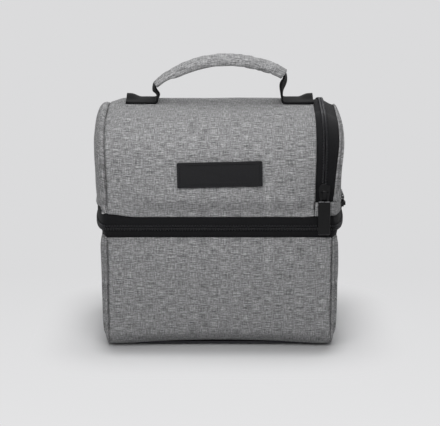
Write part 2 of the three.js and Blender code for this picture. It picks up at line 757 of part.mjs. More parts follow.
// Upper box
{
  const layers = [
    ["panel", 0, cloth, materials.greyCloth],
    ["foam", foamInset, foamInset + foam, materials.whiteFoam],
  ];
  const standOn = upperBottom + gap;
  for (const [layer, outer, inner, material] of layers) {
    const outlines = [upperOutline(outer, standOn), upperOutline(inner, standOn)];
    const end = endSheet(...outlines, standOn, upperBulge - outer, upperBulge - inner);
    add(`upper_wrap_${layer}`, wrapSheet(...outlines, -wrapEnd, upperWrapRight), material);
    add(`upper_left_end_${layer}`, mirrored(end), material);
    add(`right_sill_${layer}`, sillStrip(inner, outer, standOn, foldZ - gap), material);
    const flapOutlines = [upperOutline(outer, foldZ), upperOutline(inner, foldZ)];
    const flap = endSheet(...flapOutlines, foldZ, upperBulge - outer, upperBulge - inner);
    add(`flap_${layer}`, flap, material);
  }
  const floorLow = upperBottom - lining;
  const linedFrom = floorLow + lining / 2;
  const lined = [upperOutline(liningInset, linedFrom), upperOutline(wallThickness, linedFrom)];
  const linedEnd = endSheet(...lined, linedFrom, upperBulge - liningInset, upperBulge - wallThickness);
  const floor = planPlate(upperBulge, liningInset, floorLow, upperBottom);
  const sillLining = sillStrip(wallThickness, liningInset, linedFrom, foldZ - gap);
  const linedWrap = wrapSheet(...lined, -seamHalf, upperWrapRight);
  add("upper_liner", join(linedWrap, mirrored(linedEnd), floor, sillLining), materials.silverLining);
  const flapLined = [upperOutline(liningInset, foldZ), upperOutline(wallThickness, foldZ)];
  const flapLiner = endSheet(...flapLined, foldZ, upperBulge - liningInset, upperBulge - wallThickness);
  add("flap_liner", flapLiner, materials.silverLining);
  const foamHigh = floorLow - gap;
  const foamLow = foamHigh - dividerFoam;
  const dividerInset = liningInset;
  add("divider_foam", planPlate(lowerBulge, dividerInset, foamLow, foamHigh), materials.whiteFoam);
  const lidLining = planPlate(lowerBulge, dividerInset, foamLow - gap - lining, foamLow - gap);
  add("divider_lining", lidLining, materials.silverLining);
  add("waist_zip_upper_tape", waistTape(parting + partingGap / 2, upperBottom), materials.zipTape);
  add("waist_zip_upper_coil", waistCoil(1), materials.zipCoil);
  add("back_hinge_upper", backHinge(parting + partingGap / 2, upperBottom), materials.greyCloth);
  const fixedEdge = sideZipX - partingGap / 2;
  const flapEdge = sideZipX + partingGap / 2;
  add("side_zip_fixed_tape", sideTapeStrip(sideTapeInner, fixedEdge), materials.zipTape);
  add("side_zip_flap_tape", sideTapeStrip(flapEdge, sideTapeOuter), materials.zipTape);
  add("side_zip_fixed_coil", sideCoil(-1), materials.zipCoil);
  add("side_zip_flap_coil", sideCoil(1), materials.zipCoil);
  add("side_zip_front_stop", sideStop(-1), materials.zipCoil);
  add("side_zip_back_stop", sideStop(1), materials.zipCoil);
  add("label_patch", labelPatch(), materials.patchRubber);
}

// Sliders and pullers
{
  const sides = {
    side: new THREE.Group(),
    waist: new THREE.Group(),
  };
  sides.side.position.set(sideZipX, -halfDepth, sideSliderZ);
  sides.side.rotation.x = Math.PI / 2;
  sides.waist.position.set(seamHalf + waistBulge, waistSliderY, parting);
  const waistTurn = new THREE.Matrix4().makeBasis(
    new THREE.Vector3(0, 0, 1),
    new THREE.Vector3(0, -1, 0),
    new THREE.Vector3(1, 0, 0),
  );
  sides.waist.setRotationFromMatrix(waistTurn);
  for (const [side, group] of Object.entries(sides)) {
    bag.add(group);
    add(`${side}_zip_slider`, sliderBody(), materials.zipMetal, group);
    add(`${side}_zip_puller`, pullerBody().translate(0, 0, pullerAxisZ), materials.zipMetal, group);
  }
}

// Handle
{
  for (const [word, side] of [["left", -1], ["right", 1]]) {
    add(`handle_anchor_${word}`, anchor(side), materials.blackWebbing);
    add(`handle_riser_${word}`, riser(side), materials.blackWebbing);
  }
  add("handle_grip_sleeve", gripSleeve(), materials.greyCloth);
  add("handle_grip_foam", bandInGrip(strapTop + gap, gripRoom, stuffingWidth), materials.whiteFoam);
  add("handle_strap", bandInGrip(-gripRoom, strapTop, stuffingWidth), materials.blackWebbing);
}

export default bag;
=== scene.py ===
import math

import bmesh
import bpy
from mathutils import Matrix, Vector, noise


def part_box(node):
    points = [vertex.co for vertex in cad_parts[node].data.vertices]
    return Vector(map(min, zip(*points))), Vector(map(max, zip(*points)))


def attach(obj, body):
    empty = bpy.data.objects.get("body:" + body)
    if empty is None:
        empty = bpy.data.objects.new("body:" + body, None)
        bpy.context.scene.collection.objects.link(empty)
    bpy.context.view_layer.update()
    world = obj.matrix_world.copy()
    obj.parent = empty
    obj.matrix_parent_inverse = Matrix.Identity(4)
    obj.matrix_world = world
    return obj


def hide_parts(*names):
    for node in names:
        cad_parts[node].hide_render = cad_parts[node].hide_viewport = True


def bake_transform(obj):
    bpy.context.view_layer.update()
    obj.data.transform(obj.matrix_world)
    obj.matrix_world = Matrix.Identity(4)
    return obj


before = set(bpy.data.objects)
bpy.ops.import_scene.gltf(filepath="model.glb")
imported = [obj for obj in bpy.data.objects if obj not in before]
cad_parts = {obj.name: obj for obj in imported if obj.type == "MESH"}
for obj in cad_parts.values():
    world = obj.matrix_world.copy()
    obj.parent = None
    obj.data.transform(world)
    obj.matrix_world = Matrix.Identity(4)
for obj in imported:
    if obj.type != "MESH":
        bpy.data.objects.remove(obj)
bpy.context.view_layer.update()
mm = 0.001

# the bag's main sizes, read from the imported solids
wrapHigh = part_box("lower_wrap_panel")[1]
boxLow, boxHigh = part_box("upper_wrap_panel")
flapLow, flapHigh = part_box("flap_panel")
seamHalf = flapLow.x  # where the end panels are sewn to the wraps
halfDepth = wrapHigh.y
lowerTop = wrapHigh.z
upperBottom = boxLow.z
crest = boxHigh.z
foldZ = flapLow.z  # the flap folds out here
parting = (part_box("waist_zip_lower_tape")[1].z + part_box("waist_zip_upper_tape")[0].z) / 2

lowerForm = {"edge": lowerTop, "crest": 0.0, "radius": 23 * mm, "half": halfDepth,
             "swell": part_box("lower_right_end_panel")[1].x - seamHalf + 0.8 * mm, "squareness": 3}
upperForm = {"edge": upperBottom, "crest": crest, "radius": 52 * mm, "half": halfDepth,
             "swell": flapHigh.x - seamHalf - 1 * mm, "squareness": 4}
linerLow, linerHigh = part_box("lower_liner")
liningClear = 1.4 * mm  # the linings stand this far off the foam's inner side
liningInset = halfDepth - linerHigh.y + liningClear
lowerLining = {"edge": lowerTop, "crest": linerLow.z, "radius": lowerForm["radius"] - liningInset,
               "half": halfDepth - liningInset, "swell": linerHigh.x - seamHalf - liningClear,
               "squareness": 3}
upperLining = {"edge": upperBottom, "crest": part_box("upper_liner")[1].z,
               "radius": upperForm["radius"] - liningInset, "half": halfDepth - liningInset,
               "swell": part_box("flap_liner")[1].x - seamHalf - liningClear, "squareness": 4}
soft = {
    "endPower": 2.2,  # roundness of the swollen ends in plan
    "flareLeft": 2.0 * mm,  # the upper box widens this much towards its top
    "flareZip": 1.0 * mm,
    "flareFlap": 5.2 * mm,
    "crestY": 15 * mm,  # the top has sagged, so its highest line lies behind the handle
    "crown": 5.0 * mm,  # the fall from there to the front fold
    "endFall": 4.0 * mm,  # the fall at the two ends of the top
    "upperBelly": 11 * mm,  # the front stands out most a little above the zip, and leans back from there
    "backBelly": 0.6,  # the back does so less
    "lowerBelly": 4.0 * mm,
    "lowerLean": 6.5 * mm,  # the tub narrows this much towards its base
    "arch": 3.6 * mm,  # the base stands on its corners
    "cornerRise": 3.0 * mm,  # the zip is pulled up at the corners
    "leftRise": 7.0 * mm,  # the hem of its left end has crept up
    "wall": 5.8 * mm,  # cloth with its foam
}
spans = {  # where each of these acts
    "belly": 104 * mm, "upperSwell": (0, 24 * mm), "upperLean": (18 * mm, 82 * mm),
    "lowerSwell": (0, 18 * mm), "lowerLean": (5 * mm, 125 * mm),
    "crownFront": 30 * mm, "crownBack": 15 * mm, "top": (crest - 45 * mm, crest + 1 * mm),
    "leftEnd": (100 * mm, 119 * mm), "rightEnd": (104 * mm, 122 * mm),
    "cornerX": (85 * mm, 115 * mm), "cornerY": (50 * mm, 82 * mm), "cornerFade": 15 * mm,
    "crept": (113 * mm, 124 * mm), "creptFade": 25 * mm, "arch": 95 * mm, "archHeight": 30 * mm,
    "flare": (upperBottom + 15 * mm, crest - 15 * mm),
}


# shapes

def smooth(low, high, value):
    t = min(1.0, max(0.0, (value - low) / (high - low)))
    return t * t * (3 - 2 * t)


def ripple(a, b, length, seed):
    return noise.noise(Vector((a / length, b / length, seed)))


def roundOff(t, power):
    return max(0.0, 1 - min(1.0, abs(t)) ** power) ** (1 / power)


def flare(z, amount):
    return amount * smooth(*spans["flare"], z)


def settle(spot):  # how the filled, soft bag stands: bellied front and back, sagged top, corners drawn up
    x, y, z = spot
    middle = max(0.0, 1 - (x / spans["belly"]) ** 4)
    if z > parting:
        h = z - upperBottom
        leanFrom, leanRun = spans["upperLean"]
        belly = soft["upperBelly"] * smooth(*spans["upperSwell"], h)
        belly *= 1 - min(1.0, max(0.0, h - leanFrom) / leanRun)
        belly *= 1 if y < 0 else soft["backBelly"]
    else:
        h = lowerTop - z
        belly = soft["lowerBelly"] * smooth(*spans["lowerSwell"], h)
        belly -= soft["lowerLean"] * smooth(*spans["lowerLean"], h)
    if y < soft["crestY"]:
        fall = soft["crown"] * min(1.0, ((soft["crestY"] - y) / (spans["crownFront"] + soft["crestY"])) ** 2)
    else:
        fall = soft["crown"] * min(1.0, ((y - soft["crestY"]) / spans["crownBack"]) ** 2) * 0.6
    end = smooth(*spans["leftEnd"], -x) if x < 0 else 1.3 * smooth(*spans["rightEnd"], x)
    fall += soft["endFall"] * end
    above = max(0, z - upperBottom)
    fromZip = smooth(parting, upperBottom, z)  # the tub and its zip stay where they are
    corner = smooth(*spans["cornerX"], abs(x)) * smooth(*spans["cornerY"], abs(y)) * (1 if x < 0 else 0.5)
    rise = soft["cornerRise"] * corner * fromZip * math.exp(-above / spans["cornerFade"])
    rise += soft["leftRise"] * smooth(*spans["crept"], -x) * fromZip * math.exp(-above / spans["creptFade"])
    rise += soft["arch"] * max(0.0, 1 - (x / spans["arch"]) ** 2) * (1 - smooth(0, spans["archHeight"], z))
    return Vector((x, y * (1 + middle * belly / halfDepth), z + rise - fall * smooth(*spans["top"], z)))


def outlineLength(form):
    rise = abs(form["crest"] - form["edge"]) - form["radius"]
    return 2 * rise + math.pi * form["radius"] + 2 * (form["half"] - form["radius"])


def outlineAt(form, s):  # y, z and the outward normal, s metres along the wrap from its front edge
    total = outlineLength(form)
    near = min(s, total - s)
    side = 1 if s <= total / 2 else -1
    radius, half = form["radius"], form["half"]
    way = math.copysign(1, form["crest"] - form["edge"])
    rise = abs(form["crest"] - form["edge"]) - radius
    if near <= rise:
        y, z, ny, nz = -half, form["edge"] + way * near, -1.0, 0.0
    elif near <= rise + radius * math.pi / 2:
        a = (near - rise) / radius
        y, z = -half + radius * (1 - math.cos(a)), form["edge"] + way * (rise + radius * math.sin(a))
        ny, nz = -math.cos(a), way * math.sin(a)
    else:
        y, z, ny, nz = -half + radius + near - rise - radius * math.pi / 2, form["crest"], 0.0, way
    return side * y, z, side * ny, nz


def halfDepthAt(form, z):  # half the depth of an end panel at a height
    deep = abs(z - form["crest"])
    if deep >= form["radius"]:
        return form["half"]
    return form["half"] - form["radius"] + math.sqrt(form["radius"] ** 2 - (form["radius"] - deep) ** 2)


def shapedGrid(name, columns, rows, place, inside, tube=False):
    # a grid whose points go where place says; its UV map "cloth" is the flat cloth in metres
    bm = bmesh.new()
    bmesh.ops.create_grid(bm, x_segments=columns, y_segments=rows, size=0.5)
    flat = {}
    for v in bm.verts:
        v.co, flat[v] = place(v.co.x + 0.5, v.co.y + 0.5)
    cloth = bm.loops.layers.uv.new("cloth")
    for face in bm.faces:
        for loop in face.loops:
            loop[cloth].uv = flat[loop.vert]
    if tube:
        bmesh.ops.remove_doubles(bm, verts=bm.verts, dist=0.001 * mm)
    bm.normal_update()
    if sum(f.normal.dot(f.calc_center_median() - inside) * f.calc_area() for f in bm.faces) < 0:
        bmesh.ops.reverse_faces(bm, faces=bm.faces)
    return meshPiece(name, bm)


def meshPiece(name, bm, smoothShade=True):
    mesh = bpy.data.meshes.new(name)
    bm.to_mesh(mesh)
    bm.free()
    for face in mesh.polygons:
        face.use_smooth = smoothShade
    piece = bpy.data.objects.new(name, mesh)
    bpy.context.scene.collection.objects.link(piece)
    return piece


def ringsFromEdge(piece, most):  # how many rings of points each point lies from an open edge
    bm = bmesh.new()
    bm.from_mesh(piece.data)
    rings = {v.index: 0 for v in bm.verts if v.is_boundary}
    last = [v for v in bm.verts if v.is_boundary]
    for ring in range(1, most + 1):
        last = list({e.other_vert(v) for v in last for e in v.link_edges} - set(last))
        last = [v for v in last if v.index not in rings]
        rings.update((v.index, ring) for v in last)
    bm.free()
    return [rings.get(i, most) for i in range(len(piece.data.vertices))]


def thicken(piece, thickness, offset=-1.0):
    wall = piece.modifiers.new("wall", "SOLIDIFY")
    wall.thickness = thickness
    wall.offset = offset
    return piece


def padding(piece, thickness, rings=4):  # a foam wall that thins to the cloth alone at its sewn edges
    foam = piece.vertex_groups.new(name="foam")
    for i, ring in enumerate(ringsFromEdge(piece, rings)):
        foam.add([i], ring / rings, "REPLACE")
    thicken(piece, thickness).modifiers["wall"].vertex_group = "foam"
    piece.modifiers["wall"].thickness_vertex_group = 0.02
    return piece


def dress(piece, body, material, slot, *nodes):
    piece.data.materials.append(material)
    if body:
        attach(piece, body)
    if nodes:
        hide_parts(*nodes)
    return piece


# materials

def hexColour(text):
    channels = [int(text[i:i + 2], 16) / 255 for i in (1, 3, 5)]
    return [c / 12.92 if c <= 0.04045 else ((c + 0.055) / 1.055) ** 2.4 for c in channels] + [1.0]


def addNode(tree, kind, settings=None, inputs=None):
    node = tree.nodes.new("ShaderNode" + kind)
    for name, value in (settings or {}).items():
        setattr(node, name, value)
    for key, value in (inputs or {}).items():
        if isinstance(value, bpy.types.NodeSocket):
            tree.links.new(value, node.inputs[key])
        else:
            node.inputs[key].default_value = value
    return node


def newMaterial(name, **sockets):
    material = bpy.data.materials.new(name)
    material.use_nodes = True
    tree = material.node_tree
    shader = tree.nodes["Principled BSDF"]
    for key, value in sockets.items():
        shader.inputs[key.replace("_", " ")].default_value = value
    return material, tree, shader


def paint(ramp, stops):
    elements = ramp.color_ramp.elements
    while len(elements) < len(stops):
        elements.new(0.5)
    for element, (position, colour) in zip(elements, stops):
        element.position = position
        element.color = hexColour(colour)
    return ramp.outputs["Color"]


# polyester melange, plain weave: matt; light and dark yarns cross, so it reads as grey with fine streaks.
# Each kind of streak has its length, its width and its share. The weave is finer than this on the real cloth,
# and drawn at 1 mm so that it shows.
melange = {"weft": (11 * mm, 0.56 * mm, 0.46), "warp": (9 * mm, 0.56 * mm, 0.3),
           "fleck": (2.6 * mm, 0.9 * mm, 0.24), "weave": 1.0 * mm}


def melangeCloth(name, stops):
    material, tree, shader = newMaterial(name, Roughness=0.92, Sheen_Weight=0.12, Sheen_Roughness=0.6,
                                         Specular_IOR_Level=0.25)
    uv = addNode(tree, "UVMap", {"uv_map": "cloth"}).outputs["UV"]
    yarns = None
    for i, kind in enumerate(("weft", "warp", "fleck")):
        length, thread, share = melange[kind]
        scale = (1 / thread, 1 / length, 1) if kind == "warp" else (1 / length, 1 / thread, 1)
        stretched = addNode(tree, "Mapping", None,
                            {"Vector": uv, "Scale": scale, "Location": (i * 7.3, 3.1, 0)})
        yarn = addNode(tree, "TexNoise", {"noise_dimensions": "2D"},
                       {"Vector": stretched.outputs[0], "Scale": 1.0, "Detail": 2.0, "Roughness": 0.55})
        streak = addNode(tree, "Math", {"operation": "MULTIPLY"},
                         {0: yarn.outputs["Fac"], 1: share}).outputs[0]
        if yarns:
            streak = addNode(tree, "Math", {"operation": "ADD"}, {0: yarns, 1: streak}).outputs[0]
        yarns = streak
    ramp = addNode(tree, "ValToRGB", None, {"Fac": yarns})
    tree.links.new(paint(ramp, stops), shader.inputs["Base Color"])
    bands = {"Vector": uv, "Scale": math.pi / 10 / melange["weave"], "Distortion": 0.6}
    over = addNode(tree, "TexWave", {"bands_direction": "X"}, bands)
    under = addNode(tree, "TexWave", {"bands_direction": "Y"}, bands)
    weave = addNode(tree, "Math", {"operation": "MAXIMUM"}, {0: over.outputs["Fac"], 1: under.outputs["Fac"]})
    relief = addNode(tree, "Math", {"operation": "ADD"}, {0: weave.outputs[0], 1: yarns})
    bump = addNode(tree, "Bump", None, {"Height": relief.outputs[0], "Strength": 0.35, "Distance": 0.16 * mm})
    tree.links.new(bump.outputs["Normal"], shader.inputs["Normal"])
    return material


greyCloth = melangeCloth("polyesterMelange",
                         ((0.36, "#505051"), (0.46, "#767677"), (0.54, "#939394"), (0.64, "#bcbcbd")))
# the same cloth on the grip, painted paler: a lit copy that stands in for the light falling on the grip
gripClothPaintedLight = melangeCloth("gripMelangePaintedLight",
                         ((0.36, "#5a5a5b"), (0.46, "#848485"), (0.54, "#a5a5a6"), (0.64, "#d2d2d3")))


# woven polyester tape: matt black twill with fine diagonal ribs
def wovenBlack(name, colour, light, rib, roughness):
    material, tree, shader = newMaterial(name, Roughness=roughness, Sheen_Weight=0.03,
                                         Specular_IOR_Level=0.16)
    uv = addNode(tree, "UVMap", {"uv_map": "cloth"}).outputs["UV"]
    turned = addNode(tree, "Mapping", None, {"Vector": uv, "Rotation": (0, 0, math.radians(32))})
    bands = {"Vector": turned.outputs[0], "Scale": math.pi / 10 / rib, "Distortion": 0.8, "Detail": 1.0}
    ribs = addNode(tree, "TexWave", {"bands_direction": "X"}, bands)
    lint = addNode(tree, "TexNoise", {"noise_dimensions": "2D"},
                   {"Vector": uv, "Scale": 1 / (2.5 * mm), "Detail": 3.0})
    both = addNode(tree, "Math", {"operation": "MULTIPLY"}, {0: ribs.outputs["Fac"], 1: lint.outputs["Fac"]})
    ramp = addNode(tree, "ValToRGB", None, {"Fac": both.outputs[0]})
    tree.links.new(paint(ramp, ((0.0, colour), (0.7, light))), shader.inputs["Base Color"])
    bump = addNode(tree, "Bump", None, {"Height": ribs.outputs["Fac"], "Strength": 0.5, "Distance": 0.2 * mm})
    tree.links.new(bump.outputs["Normal"], shader.inputs["Normal"])
    return material


# the tape is fine, the webbing of the straps coarser and blacker
zipTape = wovenBlack("polyesterZipTape", "#0a0a0b", "#18181b", 1.1 * mm, 0.8)
webbing = wovenBlack("polyesterWebbing", "#060607", "#101012", 1.8 * mm, 0.8)


# moulded and lacquered pieces: even colour, faint grain that only the gloss shows
def moulded(name, colour, light, grain, depth, **sockets):
    material, tree, shader = newMaterial(name, **sockets)
    place = addNode(tree, "TexCoord").outputs["Object"]
    grit = addNode(tree, "TexNoise", None, {"Vector": place, "Scale": 1 / grain, "Detail": 3.0})
    ramp = addNode(tree, "ValToRGB", None, {"Fac": grit.outputs["Fac"]})
    tree.links.new(paint(ramp, ((0.3, colour), (0.8, light))), shader.inputs["Base Color"])
    bump = addNode(tree, "Bump", None,
                   {"Height": grit.outputs["Fac"], "Strength": depth, "Distance": 0.1 * mm})
    tree.links.new(bump.outputs["Normal"], shader.inputs["Normal"])
    return material


# drawn nylon wire: smooth, so each turn of the coil has a small highlight
nylonCoil = moulded("nylonCoil", "#151518", "#232328", 1.5 * mm, 0.1, Roughness=0.34, IOR=1.53)
# die-cast zinc, lacquered: black and glossy
lacqueredZinc = moulded("blackLacqueredZinc", "#070708", "#0d0d0f", 3 * mm, 0.02, Roughness=0.2, IOR=1.5,
                        Specular_IOR_Level=0.22)
# pale bare zinc on the tabs' rims: a painted highlight, for the bright line along their edges
paintedHighlightZinc = moulded("paintedHighlightZinc", "#77777a", "#a3a3a6", 2 * mm, 0.1, Roughness=0.38, Metallic=1.0)
# moulded soft rubber: black and satin
patchRubber = moulded("mouldedRubber", "#0d0d0f", "#161619", 1.2 * mm, 0.25, Roughness=0.55,
                      Specular_IOR_Level=0.18)
# PEVA sheet, metallised: silvery, its glints softened by fine creases
silverSheet = moulded("silverPeva", "#a9acb0", "#c4c7ca", 2.2 * mm, 0.35, Roughness=0.34, Metallic=0.55)
# extruded polyethylene: dark and waxy
boardPlastic = moulded("polyethyleneBoard", "#26262a", "#34343a", 1.5 * mm, 0.2, Roughness=0.6)
# spun polyester: matt, a little paler than the cloth
greyThread = moulded("polyesterThread", "#77797c", "#a9abae", 0.8 * mm, 0.2, Roughness=0.8)
print("materials made")


# padded panels and linings

panels = {"columns": 130, "rowLength": 2.4 * mm, "endColumns": 80, "endRows": 70, "crowding": 0.75}
wrinkle = {"broad": 55 * mm, "small": 21 * mm, "pucker": 8 * mm, "broadFade": 18 * mm, "puckerFade": 7 * mm}
clothLook = {
    "puff": 0.8 * mm, "broad": 1.1 * mm,  # hollows and swellings of the padding
    "pucker": 0.7 * mm, "hemPucker": 0.2 * mm,
    "seamDepth": 3.4 * mm, "seamWidth": 1.1 * mm,  # the groove that a seam draws in
    "foldWidth": 3.4 * mm, "foldRise": 0.7 * mm,  # the hem beside a zip is folded double and stitched down
    "hemDraw": 3.6 * mm, "drawHeight": 12 * mm,  # the zip draws the ends in
}
upperHemLook = {**clothLook, "hemDraw": 1.2 * mm}
liningLook = {"puff": -0.5 * mm, "broad": 0.9 * mm, "pucker": 0.5 * mm, "hemPucker": 0.2 * mm,
              "seamDepth": 0.0, "seamWidth": 1 * mm, "foldWidth": 3 * mm, "foldRise": 0.0,
              "hemDraw": 3.0 * mm, "drawHeight": 12 * mm}
patchLow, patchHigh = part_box("label_patch")


def crowd(t):  # grid lines crowd towards a panel's edges, where its seams and hems are
    return t - panels["crowding"] * math.sin(2 * math.pi * t) / (2 * math.pi)


def wrinkles(a, b, seamGap, hem, look, seed):  # broad hollows, and puckers that die away from a seam
    hollow = ripple(a, b, wrinkle["broad"], seed) + 0.5 * ripple(a, b, wrinkle["small"], seed + 5)
    fade = wrinkle["puckerFade"]
    pucker = look["pucker"] * math.exp(-seamGap / fade) + look["hemPucker"] * math.exp(-hem / fade)
    pucker *= ripple(a, b, wrinkle["pucker"], seed + 9)
    return look["broad"] * hollow * smooth(0, wrinkle["broadFade"], min(seamGap, hem)) + pucker


def seamGroove(look, gap, z):  # it closes towards the corners of the base
    depth = look["seamDepth"] * (0.25 + 0.75 * smooth(4 * mm, 34 * mm, z))
    return -depth * math.exp(-((gap / look["seamWidth"]) ** 2))


def hemHold(hem):  # the doubled hem keeps the groove shallow
    return 0.45 + 0.55 * smooth(2 * mm, 9 * mm, hem)


def foldedHem(look, gap):  # raised double edge, the line where its stitches pull, and its rounded lip
    rise = look["foldRise"]
    edge = rise * (1 - smooth(look["foldWidth"] - 0.4 * mm, look["foldWidth"] + 0.4 * mm, gap))
    line = 0.7 * rise * math.exp(-(((gap - look["foldWidth"] + 0.8 * mm) / (0.5 * mm)) ** 2))
    return edge - line - 2.2 * rise * (1 - smooth(0, 1.1 * mm, gap))


def wrapSurface(form, look, leftX, rightX, seed, zipFrom=math.inf):  # zipped on its right above zipFrom
    total = outlineLength(form)
    upper = form["crest"] > form["edge"]

    def surface(share, s):
        y, z, ny, nz = outlineAt(form, s)
        left = leftX - (flare(z, soft["flareLeft"]) if upper else 0.0)
        right = rightX + (flare(z, soft["flareZip"]) if upper else 0.0)
        x = left + (right - left) * share
        hem = min(s, total - s)
        beside = right - x
        seamGap = min(x - left, beside) if z < zipFrom else x - left
        flatten = 1.0
        if upper and ny < -0.7:  # the rubber patch holds the cloth behind it flat
            flatten = smooth(-2 * mm, 12 * mm, max(abs(x) - patchHigh.x, patchLow.z - z, z - patchHigh.z))
        middle = (1 - (2 * share - 1) ** 4) * smooth(0, 40 * mm, hem)
        out = flatten * (look["puff"] * middle + wrinkles(x, s, seamGap, hem, look, seed))
        out += seamGroove(look, seamGap, z) * hemHold(hem) + foldedHem(look, hem)
        if z >= zipFrom:
            out += foldedHem(look, beside)
        if nz < -0.5:  # the base stays flat on the table
            out = min(out, 0.0)
        flat = settle(Vector((x, y + ny * out, z + nz * out * (0.4 if nz > 0.5 else 1.0))))
        return Vector((flat.x, flat.y, max(0.0, flat.z))), (x, s)

    return surface


def wrapPanel(name, form, surface):
    total = outlineLength(form)
    inside = Vector((0, 0, (form["edge"] + form["crest"]) / 2))
    return shapedGrid(name, panels["columns"], round(total / panels["rowLength"]),
                      lambda u, w: surface(crowd(u), crowd(w) * total), inside)


def endSurface(form, look, side, openZ, seed, drawn=1.0, slimmer=0.0):
    upper = form["crest"] > form["edge"]
    span = form["crest"] - openZ
    widening = (soft["flareLeft"] if side < 0 else soft["flareFlap"]) if upper else 0.0

    def surface(share, down):
        z = form["crest"] - span * down
        turn = math.pi * (share - 0.5)
        across = math.copysign(abs(math.sin(turn)) ** (2 / soft["endPower"]), math.sin(turn))
        y = across * halfDepthAt(form, z)
        height = (z - openZ) / span
        reach = min(1.0, (abs(across) ** 8 + abs(height) ** 8) ** 0.125)
        full = roundOff(across, soft["endPower"])
        swell = (form["swell"] - slimmer) * full * roundOff(height, form["squareness"])
        seamGap = math.hypot((1 - reach) * form["half"], swell)
        hem = abs(z - openZ)
        out = wrinkles(y, z, seamGap, hem, look, seed) * (1 - reach ** 6)
        out += drawn * foldedHem(look, hem) * roundOff(across, 6)
        out -= drawn * look["hemDraw"] * math.exp(-((hem / look["drawHeight"]) ** 2)) * full
        inward = -seamGroove(look, seamGap, z) * hemHold(hem)
        x = seamHalf + swell + flare(z, widening) + out + 0.3 * mm * reach ** 6
        lowered = openZ + (z - openZ) * (1 - inward / abs(span))
        flat = settle(Vector((side * x, y * (1 - inward / form["half"]), lowered)))
        return Vector((flat.x, flat.y, max(0.0, flat.z))), (y, z)

    return surface


def endPanel(name, form, surface):
    inside = Vector((0, 0, (form["edge"] + form["crest"]) / 2))
    return shapedGrid(name, panels["endColumns"], panels["endRows"],
                      lambda u, w: surface(crowd(u), (1 - math.cos(w * math.pi)) / 2), inside)


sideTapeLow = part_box("side_zip_fixed_tape")[0].x
flapForm = {"squareness": 2.2}  # the flap is rounder than the other ends
surfaces = {
    "lowerWrap": wrapSurface(lowerForm, clothLook, -seamHalf, seamHalf, 1.5),
    "lowerEndLeft": endSurface(lowerForm, clothLook, -1, lowerTop, 3.2),
    "lowerEndRight": endSurface(lowerForm, clothLook, 1, lowerTop, 5.2, 1.0, 1 * mm),
    "upperWrap": wrapSurface(upperForm, clothLook, -seamHalf, sideTapeLow, 8.8, foldZ),
    "upperEndLeft": endSurface(upperForm, upperHemLook, -1, upperBottom, 12.6),
    "flapPad": endSurface({**upperForm, **flapForm}, clothLook, 1, foldZ, 15.3, 0.0, 3.0 * mm),
}
padNodes = {
    "lowerWrap": ("lower", "lower_wrap"), "lowerEndLeft": ("lower", "lower_left_end"),
    "lowerEndRight": ("lower", "lower_right_end"), "upperWrap": ("upper", "upper_wrap"),
    "upperEndLeft": ("upper", "upper_left_end"), "flapPad": ("flap", "flap"),
}
for name, (body, node) in padNodes.items():
    form = lowerForm if body == "lower" else upperForm
    pad = (wrapPanel if "Wrap" in name else endPanel)(name, form, surfaces[name])
    dress(padding(pad, soft["wall"]), body, greyCloth, "grey_cloth", f"{node}_panel", f"{node}_foam")

lining = {"thickness": 0.6 * mm}


def liningSheet(piece, body, flat, under, *nodes):
    dress(thicken(piece, lining["thickness"]), body, silverSheet, "silver_lining", *nodes)


tubLining = wrapPanel("tubLining", lowerLining,
                      wrapSurface(lowerLining, liningLook, -seamHalf, seamHalf, 21.5))
liningSheet(tubLining, "lower", (2 * seamHalf, outlineLength(lowerLining)), "lowerWrap", "lower_liner")
for word, side in (("Left", -1), ("Right", 1)):
    tubEnd = endSurface(lowerLining, liningLook, side, lowerTop, 25.5 + side)
    liningSheet(endPanel(f"tubLining{word}", lowerLining, tubEnd), "lower",
                (2 * lowerLining["half"], lowerTop - linerLow.z), f"lowerEnd{word}")
boxLining = wrapPanel("boxLining", upperLining,
                      wrapSurface(upperLining, liningLook, -seamHalf, sideTapeLow, 28.5))
liningSheet(boxLining, "upper", (seamHalf + sideTapeLow, outlineLength(upperLining)), "upperWrap",
            "upper_liner")
boxEnd = endPanel("boxLiningLeft", upperLining, endSurface(upperLining, liningLook, -1, upperBottom, 31.5))
liningSheet(boxEnd, "upper", (2 * upperLining["half"], upperLining["crest"] - upperBottom), "upperEndLeft")
flapInside = endSurface({**upperLining, **flapForm}, liningLook, 1, foldZ, 34.5, 0.0, 5.2 * mm)
liningSheet(endPanel("flapLining", upperLining, flapInside), "flap",
            (2 * upperLining["half"], upperLining["crest"] - foldZ), "flapPad", "flap_liner")
print("padded panels and linings made")


# paths round the rim and over the side zip

def evenly(points, step):  # points spaced evenly along a polyline, with their distance
    lengths = [0.0]
    for a, b in zip(points, points[1:]):
        lengths.append(lengths[-1] + (b - a).length)
    count = max(2, round(lengths[-1] / step))
    spaced = []
    k = 0
    for i in range(count + 1):
        s = lengths[-1] * i / count
        while k < len(points) - 2 and lengths[k + 1] < s:
            k += 1
        t = (s - lengths[k]) / (lengths[k + 1] - lengths[k])
        spaced.append((s, points[k].lerp(points[k + 1], t)))
    return spaced


def rimPoints(swell, lastAngle, frontSide=-1, steps=90):  # plan of the rim, from one end round to the other
    wall = frontSide * math.pi / 2
    points = []
    for side in (-1, 1):
        end = []
        for i in range(steps + 1):
            angle = wall + (lastAngle - wall) * i / steps
            across = max(0.0, math.cos(angle)) ** (2 / soft["endPower"])
            along = math.copysign(abs(math.sin(angle)) ** (2 / soft["endPower"]), math.sin(angle))
            end.append(Vector((side * (seamHalf + swell * across), halfDepth * along, 0)))
        points += end[::-1] if side < 0 else end
    return points


def sidePoints():  # the side zip's line, up the front, over the top and down the back
    total = outlineLength(upperForm)
    start = foldZ - upperBottom
    steps = sideZip["steps"]
    return [outlineAt(upperForm, start + (total - 2 * start) * i / steps) for i in range(steps + 1)]


